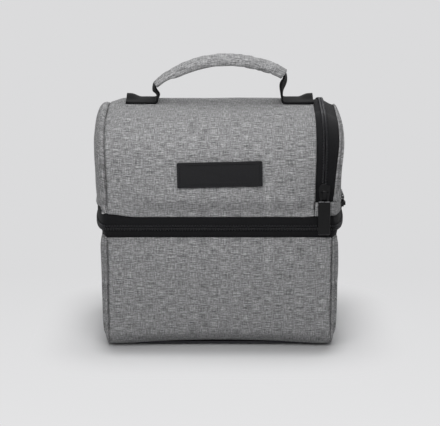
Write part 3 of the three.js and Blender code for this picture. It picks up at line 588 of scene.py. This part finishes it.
zipGap = 0.6 * mm  # from a zip's middle line to the edge of each tape
waist = {"leanLow": 11 * mm, "leanHigh": upperForm["swell"] + 0.5 * mm, "zipEnd": math.radians(60),
         "bow": 2.2 * mm, "inset": 2.0 * mm, "thickness": 0.9 * mm, "under": 4 * mm,
         "tuck": 1.6 * mm, "sillTuck": 3.2 * mm, "tuckRun": 7 * mm, "rows": 6, "step": 2.5 * mm}


def rimStation(i, count, points):
    before, after = points[max(0, i - 1)][1], points[min(count, i + 1)][1]
    along = (after - before).normalized()
    return points[i][1], along, Vector((along.y, -along.x, 0))


def rimAt(points, u):  # distance, place and outward normal at a share of the way round
    count = len(points) - 1
    i = min(count - 1, int(u * count))
    t = u * count - i
    first, second = rimStation(i, count, points), rimStation(i + 1, count, points)
    along = points[i][0] + (points[i + 1][0] - points[i][0]) * t
    return along, first[0].lerp(second[0], t), first[2].lerp(second[2], t).normalized()


def waistLean(z):  # the band leans out from the tub to the wider upper box
    t = (z - lowerTop) / (upperBottom - lowerTop)
    return waist["leanLow"] + (waist["leanHigh"] - waist["leanLow"]) * t


def waistTapePiece(name, lowZ, highZ, coilZ):
    rows = waist["rows"]
    rings = []
    for r in range(rows + 1):
        z = lowZ + (highZ - lowZ) * r / rows
        rings.append((z, evenly(rimPoints(waistLean(z), waist["zipEnd"]), waist["step"])))
    count = min(len(points) for _, points in rings) - 1

    def place(u, w):
        z, points = rings[round(w * rows)]
        s, spot, normal = rimAt(points, u)
        near = 1 - min(1.0, abs(z - coilZ) / abs(highZ - lowZ))
        out = waist["bow"] * near - waist["inset"]
        endRun = (seamHalf, seamHalf + waist["tuckRun"])
        out -= waist["tuck"] * (1 - near) ** 2 * smooth(*endRun, abs(spot.x))
        out -= waist["sillTuck"] * smooth(parting + 2 * mm, upperBottom, z) * smooth(*endRun, spot.x)
        return settle(Vector((spot.x + normal.x * out, spot.y + normal.y * out, z))), (s, z)

    piece = shapedGrid(name, count, rows, place, Vector((0, 0, parting)))
    return thicken(piece, waist["thickness"])


lowerTape = waistTapePiece("waistTapeLower", lowerTop - waist["under"], parting - zipGap, parting)
dress(lowerTape, "lower", zipTape, "zip_tape", "waist_zip_lower_tape")
upperTape = waistTapePiece("waistTapeUpper", parting + zipGap, upperBottom + waist["under"], parting)
dress(upperTape, "upper", zipTape, "zip_tape", "waist_zip_upper_tape")

leafLow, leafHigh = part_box("side_zip_flap_tape")
sideZip = {"line": (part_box("side_zip_fixed_tape")[1].x + leafLow.x) / 2, "bow": 1.9 * mm, "bowWidth": 9 * mm,
           "inset": 2.0 * mm, "thickness": 0.9 * mm, "under": 2 * mm,
           "steps": 240, "stepLength": 1.27 * mm, "rows": 6}


def sideTapePiece(name, nearX, farX, nearFlare, farFlare):
    line = sidePoints()

    def place(u, w):
        i = round(u * sideZip["steps"])
        y, z, ny, nz = line[i]
        x = nearX + (farX - nearX) * w
        near = 1 - min(1.0, abs(x - sideZip["line"]) / sideZip["bowWidth"])
        out = sideZip["bow"] * near - sideZip["inset"]
        x += flare(z, nearFlare + (farFlare - nearFlare) * w)
        return settle(Vector((x, y + ny * out, z + nz * out))), (i * sideZip["stepLength"], x)

    piece = shapedGrid(name, sideZip["steps"], sideZip["rows"], place, Vector((0, 0, parting + 60 * mm)))
    return thicken(piece, sideZip["thickness"])


fixedTape = sideTapePiece("sideTapeFixed", sideTapeLow - sideZip["under"], sideZip["line"] - zipGap,
                          soft["flareZip"], soft["flareZip"])
dress(fixedTape, "upper", zipTape, "zip_tape", "side_zip_fixed_tape")
leafTape = sideTapePiece("sideTapeFlap", sideZip["line"] + zipGap, leafHigh.x + sideZip["under"],
                         soft["flareZip"], soft["flareFlap"])
dress(leafTape, "flap", zipTape, "zip_tape", "side_zip_flap_tape")

coil = {"pitch": 1.6 * mm, "bar": 3.4 * mm, "wire": 0.9 * mm, "rise": 1.8 * mm, "overlap": 0.35 * mm,
        "proud": 0.35}


def coilTurn(bm, spot, along, across, out):
    turn = Matrix((along, across, out)).transposed().to_4x4()
    size = Matrix.Diagonal((coil["wire"] / 2, coil["bar"] / 2, coil["rise"] / 2, 1))
    place = Matrix.Translation(spot) @ turn @ size
    bmesh.ops.create_uvsphere(bm, u_segments=6, v_segments=4, radius=1, matrix=place)


def waistCoilPiece(name, way):
    bm = bmesh.new()
    points = evenly(rimPoints(waistLean(parting), waist["zipEnd"]), coil["pitch"] / 2)
    for i in range(0 if way > 0 else 1, len(points), 2):
        spot, along, normal = rimStation(i, len(points) - 1, points)
        out = waist["bow"] - waist["inset"] + coil["rise"] * coil["proud"]
        place = spot + normal * out + Vector((0, 0, parting + way * (coil["bar"] / 2 - coil["overlap"])))
        coilTurn(bm, place, along, Vector((0, 0, 1)), normal)
    return meshPiece(name, bm)


def sideCoilPiece(name, way):
    bm = bmesh.new()
    line = [settle(Vector((sideZip["line"] + flare(z, soft["flareZip"]), y, z))) for y, z, *_ in sidePoints()]
    points = evenly(line, coil["pitch"] / 2)
    for i in range(0 if way > 0 else 1, len(points), 2):
        spot = points[i][1]
        along = (points[min(len(points) - 1, i + 1)][1] - points[max(0, i - 1)][1]).normalized()
        across = Vector((1, 0, 0))
        normal = across.cross(along).normalized()
        across = along.cross(normal)
        out = sideZip["bow"] - sideZip["inset"] + coil["rise"] * coil["proud"]
        place = spot + normal * out + across * way * (coil["bar"] / 2 - coil["overlap"])
        coilTurn(bm, place, along, across, normal)
    return meshPiece(name, bm)


dress(waistCoilPiece("waistCoilLower", -1), "lower", nylonCoil, "zip_coil", "waist_zip_lower_coil")
dress(waistCoilPiece("waistCoilUpper", 1), "upper", nylonCoil, "zip_coil", "waist_zip_upper_coil")
dress(sideCoilPiece("sideCoilFixed", -1), "upper", nylonCoil, "zip_coil", "side_zip_fixed_coil")
dress(sideCoilPiece("sideCoilFlap", 1), "flap", nylonCoil, "zip_coil", "side_zip_flap_coil")
print("zips made")


# the strip under the flap, the cloth hinge and the floor between the compartments

sill = {"columns": 160, "rows": 20, "wall": 3.4 * mm, "slimmer": 2.5 * mm, "top": foldZ - 0.4 * mm,
        "drawHeight": 9 * mm, "drawRun": 8 * mm}


def sillStrip(name, form, look, seed):
    half, height = form["half"], sill["top"] - upperBottom
    rim = rimPoints(form["swell"] - sill["slimmer"], math.pi / 2)
    plan = [Vector((p.x, p.y * half / halfDepth, 0)) for p in rim]
    plan = [p for p in plan if p.x >= seamHalf - 0.01 * mm]
    points = evenly([Vector((sideTapeLow, -half, 0))] + plan + [Vector((sideTapeLow, half, 0))], 1 * mm)

    def place(u, w):
        s, spot, normal = rimAt(points, u)
        low = w * height
        out = wrinkles(s, low, 1.0, height * min(w, 1 - w), look, seed) + foldedHem(look, low)
        drawn = math.exp(-((low / sill["drawHeight"]) ** 2))
        out -= look["hemDraw"] * drawn * smooth(seamHalf, seamHalf + sill["drawRun"], spot.x)
        return settle(spot + normal * out + Vector((0, 0, upperBottom + low))), (s, low)

    return shapedGrid(name, sill["columns"], sill["rows"], place, Vector((0, 0, upperBottom)))


sillPad = sillStrip("sillPad", upperForm, upperHemLook, 41.0)
dress(padding(sillPad, sill["wall"]), "upper", greyCloth, "grey_cloth", "right_sill_panel", "right_sill_foam")
liningSheet(sillStrip("sillLining", upperLining, liningLook, 43.0), "upper",
            (2 * upperLining["half"] + 2 * (seamHalf - sideTapeLow), foldZ - upperBottom), "sillPad")

hinge = {"low": lowerTop - 3 * mm, "high": upperBottom + 3 * mm, "start": math.radians(53),
         "thickness": 1.2 * mm, "sag": 1.6 * mm, "proud": 1.4 * mm, "tuck": 2.6 * mm,
         "tuckRun": (6 * mm, 16 * mm), "columns": 130, "rows": 12, "step": 2.5 * mm}


def hingeZ(w):
    return hinge["low"] + (hinge["high"] - hinge["low"]) * w


def hingePlace(u, w):
    s, spot, normal = rimAt(hingeRings[round(w * hinge["rows"])], u)
    slack = hinge["sag"] * math.sin(math.pi * w) * (0.6 + 0.4 * ripple(s, 0, 30 * mm, 50.5))
    end = (0.5 - abs(u - 0.5)) * hingeRings[0][-1][0]
    tucked = hinge["tuck"] * (1 - smooth(*hinge["tuckRun"], end))  # its ends lie under the zip's
    return spot - normal * (slack - hinge["proud"] - tucked) + Vector((0, 0, hingeZ(w))), (s, hingeZ(w))


hingeRings = [evenly(rimPoints(waistLean(hingeZ(k / hinge["rows"])), hinge["start"], 1), hinge["step"])
              for k in range(hinge["rows"] + 1)]
backHinge = shapedGrid("backHinge", hinge["columns"], hinge["rows"], hingePlace, Vector((0, 0, parting)))
dress(thicken(backHinge, hinge["thickness"]), None, greyCloth, "grey_cloth", "back_hinge_lower",
      "back_hinge_upper")
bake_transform(backHinge)

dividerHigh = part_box("divider_foam")[1]
divider = {"half": dividerHigh.y, "swell": dividerHigh.x - seamHalf, "top": upperBottom - 0.6 * mm,
           "thickness": 8.2 * mm, "dish": 0.6 * mm, "dents": 0.5 * mm, "columns": 70, "rows": 46}


def dividerPlace(u, w):
    y = (2 * w - 1) * divider["half"]
    x = (2 * u - 1) * (seamHalf + divider["swell"] * roundOff(2 * w - 1, 2.4))
    middle = (1 - (2 * u - 1) ** 6) * (1 - (2 * w - 1) ** 6)
    dent = divider["dents"] * ripple(x, y, 40 * mm, 60.5) - divider["dish"]
    return Vector((x, y, divider["top"] + middle * dent)), (x, y)


floorPad = shapedGrid("dividerPad", divider["columns"], divider["rows"], dividerPlace, Vector((0, 0, 0)))
dress(thicken(floorPad, divider["thickness"]), "upper", silverSheet, "silver_lining",
      "divider_foam", "divider_lining")

binding = {"inner": liningInset + 0.6 * mm, "outer": 1.2 * mm, "rise": 1.4 * mm, "low": lowerTop - 0.6 * mm,
           "swell": lowerForm["swell"] * 0.88, "thickness": 0.8 * mm, "rows": 6, "step": 2.5 * mm}


def bindingPlace(points):
    def place(u, w):
        s, spot, normal = rimAt(points, u)
        normal = Vector((math.copysign(normal.x, spot.x), math.copysign(normal.y, spot.y), 0))
        depth = binding["outer"] + (binding["inner"] - binding["outer"]) * w
        z = binding["low"] + binding["rise"] * math.sin(math.pi * w)
        return spot - normal * depth + Vector((0, 0, z)), (s, depth)
    return place


for word, frontSide, nodes in (("Front", -1, ["lower_rim_binding"]), ("Back", 1, [])):
    rim = evenly(rimPoints(binding["swell"], 0.0, frontSide), binding["step"])
    rimTape = shapedGrid(f"rimBinding{word}", len(rim) - 1, binding["rows"], bindingPlace(rim),
                         Vector((0, 0, 0)))
    dress(thicken(rimTape, binding["thickness"]), "lower", webbing, "black_webbing", *nodes)
print("strips, hinge and divider made")


# the patch, the sliders and the stops

patch = {"border": 2.4 * mm, "groove": 1.1 * mm, "grooveDepth": 0.5 * mm, "corner": 1.2 * mm,
         "lift": 0.3 * mm, "tilt": math.radians(1.3)}


def patchPiece():
    width, height = patchHigh.x - patchLow.x, patchHigh.z - patchLow.z
    thickness = patchHigh.y - patchLow.y
    bm = bmesh.new()
    bmesh.ops.create_cube(bm, size=1, matrix=Matrix.Diagonal((width, thickness, height, 1)))
    upright = [e for e in bm.edges if abs(e.verts[0].co.y - e.verts[1].co.y) > thickness / 2]
    bmesh.ops.bevel(bm, geom=upright, offset=patch["corner"], affect="EDGES", segments=4, profile=0.5,
                    material=-1)
    front = min(bm.faces, key=lambda f: f.calc_center_median().y)
    groove, depth = patch["groove"], patch["grooveDepth"]  # the border's line: two sloping walls and a floor
    steps = ((patch["border"], 0), (groove * 0.35, -depth), (groove * 0.3, 0), (groove * 0.35, depth * 0.8))
    for inward, sink in steps:
        bmesh.ops.inset_region(bm, faces=[front], thickness=inward, depth=sink)
    long = [e for e in bm.edges if e.calc_length() > 20 * mm]
    bmesh.ops.subdivide_edges(bm, edges=long, cuts=16, use_grid_fill=True)
    bmesh.ops.rotate(bm, verts=bm.verts, cent=(0, 0, 0), matrix=Matrix.Rotation(-patch["tilt"], 3, "Y"))
    for v in bm.verts:
        spot = v.co + Vector((0, -halfDepth - patch["lift"] - thickness / 2, (patchLow.z + patchHigh.z) / 2))
        v.co = settle(spot)
    return meshPiece("patch", bm, False)


dress(patchPiece(), "upper", patchRubber, "patch_rubber", "label_patch")


def roundedCopy(node, width):  # a CAD piece with its edges eased, as a casting's are
    bm = bmesh.new()
    bm.from_mesh(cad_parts[node].data)
    bmesh.ops.remove_doubles(bm, verts=bm.verts, dist=0.001 * mm)
    bmesh.ops.dissolve_limit(bm, angle_limit=math.radians(2), verts=bm.verts, edges=bm.edges)
    sharp = [e for e in bm.edges if e.is_manifold and e.calc_face_angle() > math.radians(35)]
    bmesh.ops.bevel(bm, geom=sharp, offset=width, affect="EDGES", segments=3, profile=0.5, material=-1,
                    clamp_overlap=True)
    piece = meshPiece("".join(w.capitalize() if i else w for i, w in enumerate(node.split("_"))), bm)
    piece.data.set_sharp_from_angle(angle=math.radians(40))
    return piece


# tab: the share of its length that is thicker
puller = {"tab": 0.8, "raised": 1.3 * mm, "corner": 1.4 * mm, "edge": 0.75 * mm}


def pullerPiece(node, long, thin, outward):  # long and thin are axes; the tab is at the far end
    low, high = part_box(node)
    low, high = low.copy(), high.copy()
    if long == 2:
        high[2] = low[2] + (high[2] - low[2]) * puller["tab"]
    else:
        low[long] = high[long] - (high[long] - low[long]) * puller["tab"]
    if outward < 0:
        low[thin] -= puller["raised"]
    else:
        high[thin] += puller["raised"]
    bm = bmesh.new()
    place = Matrix.Translation((low + high) / 2) @ Matrix.Diagonal((*(high - low), 1))
    bmesh.ops.create_cube(bm, size=1, matrix=place)
    corners = [e for e in bm.edges if abs(e.verts[0].co[thin] - e.verts[1].co[thin]) > 1 * mm]
    bmesh.ops.bevel(bm, geom=corners, offset=puller["corner"], affect="EDGES", segments=4, profile=0.5,
                    material=-1)
    rims = [e for e in bm.edges if e.calc_face_angle(0) > math.radians(60)]
    bmesh.ops.bevel(bm, geom=rims, offset=puller["edge"], affect="EDGES", segments=3, profile=0.5,
                    material=-1)
    bm.normal_update()
    for face in bm.faces:  # painted highlight: the rims at both ends get the pale zinc, for their bright edge lines
        face.material_index = 1 if 0.4 < abs(face.normal[long]) < 0.9 else 0
    return meshPiece(node.split("_")[0] + "PullerTab", bm)


for node, body in (("side_zip_slider", "side_slider"), ("side_zip_puller", "side_puller"),
                   ("waist_zip_slider", "waist_slider"), ("waist_zip_puller", "waist_puller")):
    dress(roundedCopy(node, 0.35 * mm), body, lacqueredZinc, "zip_metal", node)
for node, long, thin, outward, body in (("side_zip_puller", 2, 1, -1, "side_puller"),
                                        ("waist_zip_puller", 1, 0, 1, "waist_puller")):
    tab = dress(pullerPiece(node, long, thin, outward), body, lacqueredZinc, "zip_metal")
    # the second material is the painted highlight on the tab's rims
    tab.data.materials.append(paintedHighlightZinc)
for node, material in (("side_zip_front_stop", nylonCoil), ("side_zip_back_stop", nylonCoil),
                       ("base_board", boardPlastic), ("waist_zip_left_stop", nylonCoil),
                       ("waist_zip_right_stop", nylonCoil)):
    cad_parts[node].data.materials.clear()
    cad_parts[node].data.materials.append(material)
print("patch, sliders and stops made")


# handle

sleeveLow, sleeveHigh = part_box("handle_grip_sleeve")
anchorLow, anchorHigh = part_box("handle_anchor_right")
grip = {
    "half": anchorLow.x, "endZ": crest + 22 * mm, "rise": 23.4 * mm, "columns": 64, "rows": 28,
    "width": sleeveHigh.y - sleeveLow.y, "thickness": 11.5 * mm, "cloth": 1.2 * mm,
    "boxiness": (0.7, 0.8), "sink": 1.6 * mm,
    "endFull": (0.55, 0.98), "fullFrom": 34 * mm,  # its ends are thinner, the left one most
    "lopside": 4.2 * mm, "rightLift": 2.4 * mm,
    "creases": ((0.35 * mm, 7 * mm, 70.5), (0.5 * mm, 18 * mm, 73.5)),
    "yarn": 0.55,  # its yarns are drawn coarse, so that they show
}
swelling = {"pressure": 4.0, "mass": 0.002, "spare": 0.03, "frames": 20, "cap": 1.3 * mm, "rings": 14}
gripRadius = (grip["half"] ** 2 + grip["rise"] ** 2) / (2 * grip["rise"])
gripCentre = grip["endZ"] + grip["rise"] - gripRadius
gripAngle = math.asin(grip["half"] / gripRadius)


def lopside(u):  # the sleeve has slipped, so its right end stands higher
    return grip["lopside"] * (2 * u - 1) + grip["rightLift"] * max(0.0, 2 * u - 1) ** 2


def boxed(t, power):
    return math.copysign(abs(t) ** power, t)


def gripPlace(u, w):
    angle = gripAngle * (2 * u - 1)
    turn = 2 * math.pi * w
    fromEnd = smooth(0, grip["fullFrom"], min(u, 1 - u) * 2 * grip["half"])
    atEnd = grip["endFull"][0 if u < 0.5 else 1]
    full = atEnd + (1 - atEnd) * fromEnd
    across = boxed(math.cos(turn), grip["boxiness"][0]) * grip["width"] / 2 * (0.94 + 0.06 * full)
    up = boxed(math.sin(turn), grip["boxiness"][1]) * grip["thickness"] / 2 * full
    along = grip["half"] * (2 * u - 1)
    crease = sum(depth * ripple(along, across, length, seed) for depth, length, seed in grip["creases"])
    radius = gripRadius + up + math.copysign(1, up) * crease - grip["sink"] * fromEnd
    spot = Vector((radius * math.sin(angle), across, gripCentre + radius * math.cos(angle) + lopside(u)))
    return spot, (along, w * 2 * grip["yarn"] * (grip["width"] + grip["thickness"]))


def swellCloth(piece, sim):  # the foam's pressure swells the cloth between its sewn edges
    rings = ringsFromEdge(piece, sim["rings"])
    sewn = piece.vertex_groups.new(name="sewn")
    sewn.add([i for i, ring in enumerate(rings) if ring < 2], 1.0, "REPLACE")
    cloth = piece.modifiers.new("swell", "CLOTH")
    cloth.settings.vertex_group_mass = "sewn"
    cloth.settings.use_pressure = True
    cloth.settings.uniform_pressure_force = sim["pressure"]
    cloth.settings.mass = sim["mass"]
    cloth.settings.shrink_min = -sim["spare"]
    cloth.settings.quality = 5
    cloth.settings.effector_weights.gravity = 0
    for step in range(1, sim["frames"] + 1):
        bpy.context.scene.frame_set(step)
    swollen = piece.evaluated_get(bpy.context.evaluated_depsgraph_get()).data
    for v, new, ring in zip(piece.data.vertices, [v.co.copy() for v in swollen.vertices], rings):
        move = new - v.co
        most = sim["cap"] * smooth(0, sim["rings"], ring)
        v.co += move * min(1.0, most / max(move.length, 1e-9))
    piece.modifiers.remove(cloth)
    piece.vertex_groups.remove(sewn)
    bpy.context.scene.frame_set(1)


gripSleeve = shapedGrid("gripSleeve", grip["columns"], grip["rows"], gripPlace, Vector((0, 0, grip["endZ"])),
                        tube=True)
swellCloth(gripSleeve, swelling)
dress(thicken(gripSleeve, grip["cloth"]), "handle", gripClothPaintedLight, "grey_cloth",
      "handle_grip_sleeve", "handle_grip_foam", "handle_strap")

strap = {
    "width": anchorHigh.y - anchorLow.y + 3 * mm, "riserWidth": 20 * mm, "thickness": 2.2 * mm, "rows": 10,
    "lift": 3.2 * mm, "liftX": (83 * mm, 94 * mm), "liftY": (-4 * mm, 9 * mm),  # a loose outer corner
    "riser": (2 * mm, 14 * mm), "bend": (crest + 6.5 * mm, crest + 18 * mm),  # where it leans with the handle
    # x and height in mm, from the sewn end up into the sleeve
    "path": ((98.5, 0.5), (93, 0.2), (85, 0), (75, 0), (68.5, 0.1), (65.9, 1.8), (65.7, 6),
             (67.0, 12), (68.6, 17.5), (67.4, 21.3), (62, 25.4), (55, 29.4)),
    "smoothing": 6, "step": 1.2 * mm,
}


def rounded(control, pieces):  # a smooth line through the points
    path = []
    for k in range(len(control) - 1):
        p0, p1, p2, p3 = (control[min(len(control) - 1, max(0, k + j))] for j in (-1, 0, 1, 2))
        for i in range(pieces):
            t = i / pieces
            bend = (2 * p0 - 5 * p1 + 4 * p2 - p3) * t * t + (3 * p1 - p0 - 3 * p2 + p3) * t ** 3
            path.append(0.5 * (2 * p1 + (p2 - p0) * t + bend))
    return path + [control[-1]]


def strapPiece(name, side):
    flatZ = anchorLow.z + strap["thickness"] / 2
    tilt = lopside(0.5 + side / 2)
    control = [Vector((x, 0, height)) * mm for x, height in strap["path"]]
    points = evenly(rounded(control, strap["smoothing"]), strap["step"])

    def place(u, w):
        i = round(u * (len(points) - 1))
        s, spot = points[i]
        upward = smooth(*strap["riser"], spot.z)
        wide = strap["width"] + (strap["riserWidth"] - strap["width"]) * upward
        y = (w - 0.5) * wide
        twist = (0.12 + 0.25 * math.sin(math.pi * smooth(1 * mm, 20 * mm, spot.z))) * side * upward
        x = side * spot.x + y * math.sin(twist)
        z = flatZ + spot.z + tilt * upward
        fallen = settle(Vector((x, y, crest))).z - crest  # the sewn part follows the sagged top
        z += fallen * (1 - upward)
        z += strap["lift"] * smooth(*strap["liftX"], spot.x) * smooth(*strap["liftY"], y)
        return Vector((x, y * math.cos(twist), z)), (s, y)

    piece = shapedGrid(name, len(points) - 1, strap["rows"], place, Vector((side * 80 * mm, 0, 200 * mm)))
    thicken(piece, strap["thickness"], 0.0)
    word = "right" if side > 0 else "left"
    dress(piece, None, webbing, "black_webbing", f"handle_anchor_{word}", f"handle_riser_{word}")
    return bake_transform(piece)


strapPiece("strapLeft", -1)
strapPiece("strapRight", 1)
print("handle made")


# stitches beside the zips

stitch = {"pitch": 3.4 * mm, "length": 2.4 * mm, "thread": 0.6 * mm, "lift": 0.35 * mm,
          "fromEdge": clothLook["foldWidth"] - 0.8 * mm, "wrapEnds": 0.02, "endEnds": 0.03, "samples": 120}


def stitchRow(name, body, spots, outside):
    bm = bmesh.new()
    row = evenly(spots, stitch["pitch"])
    for i in range(len(row) - 1):
        a, b = row[i][1], row[i + 1][1]
        along = (b - a).normalized()
        out = outside((a + b) / 2)
        across = out.cross(along).normalized()
        turn = Matrix((along, across, along.cross(across))).transposed().to_4x4()
        size = Matrix.Diagonal((stitch["length"] / 2, stitch["thread"] / 2, stitch["thread"] / 2, 1))
        lift = Matrix.Translation((a + b) / 2 + out * stitch["lift"])
        bmesh.ops.create_icosphere(bm, subdivisions=1, radius=1, matrix=lift @ turn @ size)
    return dress(meshPiece(name, bm), body, greyThread, "grey_cloth")


def fromMiddle(spot):
    return Vector((spot.x * 0.2 if abs(spot.y) > 70 * mm else spot.x, spot.y, 0)).normalized()


def fromBoxMiddle(spot):
    return Vector((0, spot.y, spot.z - 190 * mm)).normalized()


def seamSpots(surface, ends, across):  # points along a hem, from seam to seam
    count = stitch["samples"]
    return [surface(ends + (1 - 2 * ends) * i / count, across)[0] for i in range(count + 1)]


for name, (body, node) in padNodes.items():
    form = lowerForm if body == "lower" else upperForm
    if "Wrap" in name:
        for word, s in (("Front", stitch["fromEdge"]), ("Back", outlineLength(form) - stitch["fromEdge"])):
            spots = seamSpots(surfaces[name], stitch["wrapEnds"], s)
            stitchRow(f"{name}Stitches{word}", body, spots, fromMiddle)
    elif body == "lower":  # the upper ends' hems lie under the zip tape
        down = 1 - stitch["fromEdge"] / abs(form["crest"] - form["edge"])
        stitchRow(f"{name}Stitches", body, seamSpots(surfaces[name], stitch["endEnds"], down), fromMiddle)
boxTotal = outlineLength(upperForm)
boxWide = sideTapeLow + seamHalf
zipFoot = foldZ - upperBottom
climb = [zipFoot + (boxTotal - 2 * zipFoot) * i / 200 for i in range(201)]
zipEdge = [surfaces["upperWrap"](1 - stitch["fromEdge"] / boxWide, s)[0] for s in climb]
stitchRow("sideZipStitches", "upper", zipEdge, fromBoxMiddle)
print("stitches made")


# stage, lamps and camera

stageSizes = {"halfWidth": 3.0, "front": -2.2, "bend": 0.9, "bendRadius": 0.8, "wallHeight": 3.0}


def sweepPlace(u, w):
    x = (2 * u - 1) * stageSizes["halfWidth"]
    floor = stageSizes["bend"] - stageSizes["front"]
    turn = stageSizes["bendRadius"] * math.pi / 2
    s = w * (floor + turn + stageSizes["wallHeight"])
    if s < floor:
        y, z = stageSizes["front"] + s, 0.0
    elif s < floor + turn:
        a = (s - floor) / stageSizes["bendRadius"]
        y = stageSizes["bend"] + stageSizes["bendRadius"] * math.sin(a)
        z = stageSizes["bendRadius"] * (1 - math.cos(a))
    else:
        y, z = stageSizes["bend"] + stageSizes["bendRadius"], stageSizes["bendRadius"] + s - floor - turn
    return Vector((x, y, z)), (x, s)


paperLook = {
    "colour": "#e9e9ea", "front": "#e4e4e5", "back": "#dbdbdc",
    "toneRun": (-0.35, 0.2), "horizon": (0.5, 1.6),  # from the front tone to the back one
    "footprint": (0.1, 0.076, 0),  # half the ground that the bag covers
    "paintedShade": "#c8c8c9", "paintedShadeRun": (0.008, 0.039),  # painted shadow: the paper's colour is darkened where the bag stands
    "plainRun": (0.004, 0.1),  # from here on the paper shows its own colour
}


def seenRays(tree):  # rays on which the eye, gloss or glass sees the background
    ray = addNode(tree, "LightPath").outputs
    seen = addNode(tree, "Math", {"operation": "MAXIMUM"}, {0: ray["Is Camera Ray"], 1: ray["Is Glossy Ray"]})
    seen = addNode(tree, "Math", {"operation": "MAXIMUM"},
                   {0: seen.outputs[0], 1: ray["Is Transmission Ray"]})
    return seen.outputs[0]


# backdrop paper: matt; away from the bag it shows its own pale grey, so that no lamp has to light it
paper, paperTree, paperShader = newMaterial("backdropPaper", Roughness=0.95, Specular_IOR_Level=0.1)
place = addNode(paperTree, "TexCoord").outputs["Object"]
outside = place
for operation, other in (("ABSOLUTE", (0, 0, 0)), ("SUBTRACT", paperLook["footprint"]),
                         ("MAXIMUM", (0, 0, 0))):
    outside = addNode(paperTree, "VectorMath", {"operation": operation}, {0: outside, 1: other}).outputs[0]
outside = addNode(paperTree, "VectorMath", {"operation": "LENGTH"}, {0: outside}).outputs["Value"]
runs = {}  # 0 to 1 over a stretch of the paper, away from the bag
for run in ("paintedShadeRun", "plainRun", "horizon"):
    start, end = paperLook[run]
    runs[run] = addNode(paperTree, "MapRange", {"interpolation_type": "SMOOTHSTEP"},
                        {"Value": outside, "From Min": start, "From Max": end}).outputs["Result"]
# painted shadow: the paper's own colour darkens towards the bag's footprint
paintedShade = addNode(paperTree, "ValToRGB", None, {"Fac": runs["paintedShadeRun"]})
paperTree.links.new(paint(paintedShade, ((0.0, paperLook["paintedShade"]), (1.0, paperLook["colour"]))),
                    paperShader.inputs["Base Color"])
depth = addNode(paperTree, "SeparateXYZ", None, {"Vector": place}).outputs["Y"]
start, end = paperLook["toneRun"]
behind = addNode(paperTree, "MapRange", None, {"Value": depth, "From Min": start, "From Max": end})
tone = addNode(paperTree, "ValToRGB", None, {"Fac": behind.outputs["Result"]})
tone = paint(tone, ((0.0, paperLook["front"]), (1.0, paperLook["back"])))
tone = addNode(paperTree, "Mix", {"data_type": "RGBA"},
               {0: runs["horizon"], 6: tone, 7: hexColour(paperLook["back"])}).outputs[2]
share = addNode(paperTree, "Math", {"operation": "MULTIPLY"}, {0: runs["plainRun"], 1: seenRays(paperTree)})
plain = addNode(paperTree, "Emission", None, {"Color": tone, "Strength": 1.0})
mixed = addNode(paperTree, "MixShader", None,
                {0: share.outputs[0], 1: paperShader.outputs["BSDF"], 2: plain.outputs["Emission"]})
paperTree.links.new(mixed.outputs["Shader"], paperTree.nodes["Material Output"].inputs["Surface"])
sweep = shapedGrid("paperSweep", 2, 120, sweepPlace, Vector((0, 4, -2)))
sweep.data.materials.append(paper)


lamps = {  # place, what it faces, size in metres and watts
    "topBox": ((-0.05, 0.1, 1.15), (0, 0, 0), (0.9, 0.6), 4.5),
    "keyBox": ((-0.05, -0.42, 0.42), (0, -0.06, 0.2), (0.5, 0.26), 1.58),
    "backBox": ((0.45, 0.62, 0.75), (0, 0, 0.15), (0.7, 0.5), 1.8),
}
for name, (spot, target, size, watts) in lamps.items():
    lamp = bpy.data.lights.new(name, "AREA")
    lamp.shape = "RECTANGLE"
    lamp.size, lamp.size_y = size
    lamp.energy = watts
    lampObject = bpy.data.objects.new(name, lamp)
    lampObject.location = spot
    lampObject.visible_camera = False
    lampObject.rotation_euler = (Vector(target) - Vector(spot)).to_track_quat("-Z", "Y").to_euler()
    bpy.context.scene.collection.objects.link(lampObject)
roomLook = {"colour": "#f3f4f4", "strength": 0.22}
world = bpy.data.worlds.new("studio")
world.use_nodes = True
worldTree = world.node_tree
room = worldTree.nodes["Background"]
room.inputs["Color"].default_value = hexColour(roomLook["colour"])
room.inputs["Strength"].default_value = roomLook["strength"]
surround = addNode(worldTree, "Background", None,
                   {"Color": hexColour(paperLook["back"]), "Strength": 1.0})
shown = addNode(worldTree, "MixShader", None,
                {0: seenRays(worldTree), 1: room.outputs["Background"], 2: surround.outputs["Background"]})
worldTree.links.new(shown.outputs["Shader"], worldTree.nodes["World Output"].inputs["Surface"])
bpy.context.scene.world = world
bpy.context.scene.view_settings.view_transform = "Standard"

shot = {"elevation": math.radians(13.5), "distance": 1.6, "aim": Vector((0.3 * mm, 0, 126 * mm)),
        "focalPixels": 1488, "frameWidth": 440}
camera = bpy.data.cameras.new("photoCamera")
camera.sensor_width = 36
camera.lens = shot["focalPixels"] / shot["frameWidth"] * camera.sensor_width
cameraObject = bpy.data.objects.new("photoCamera", camera)
away = Vector((0, -math.cos(shot["elevation"]), math.sin(shot["elevation"])))
cameraObject.location = shot["aim"] + away * shot["distance"]
cameraObject.rotation_euler = (-away).to_track_quat("-Z", "Y").to_euler()
bpy.context.scene.collection.objects.link(cameraObject)
bpy.context.scene.camera = cameraObject
print("stage, lamps and camera made")
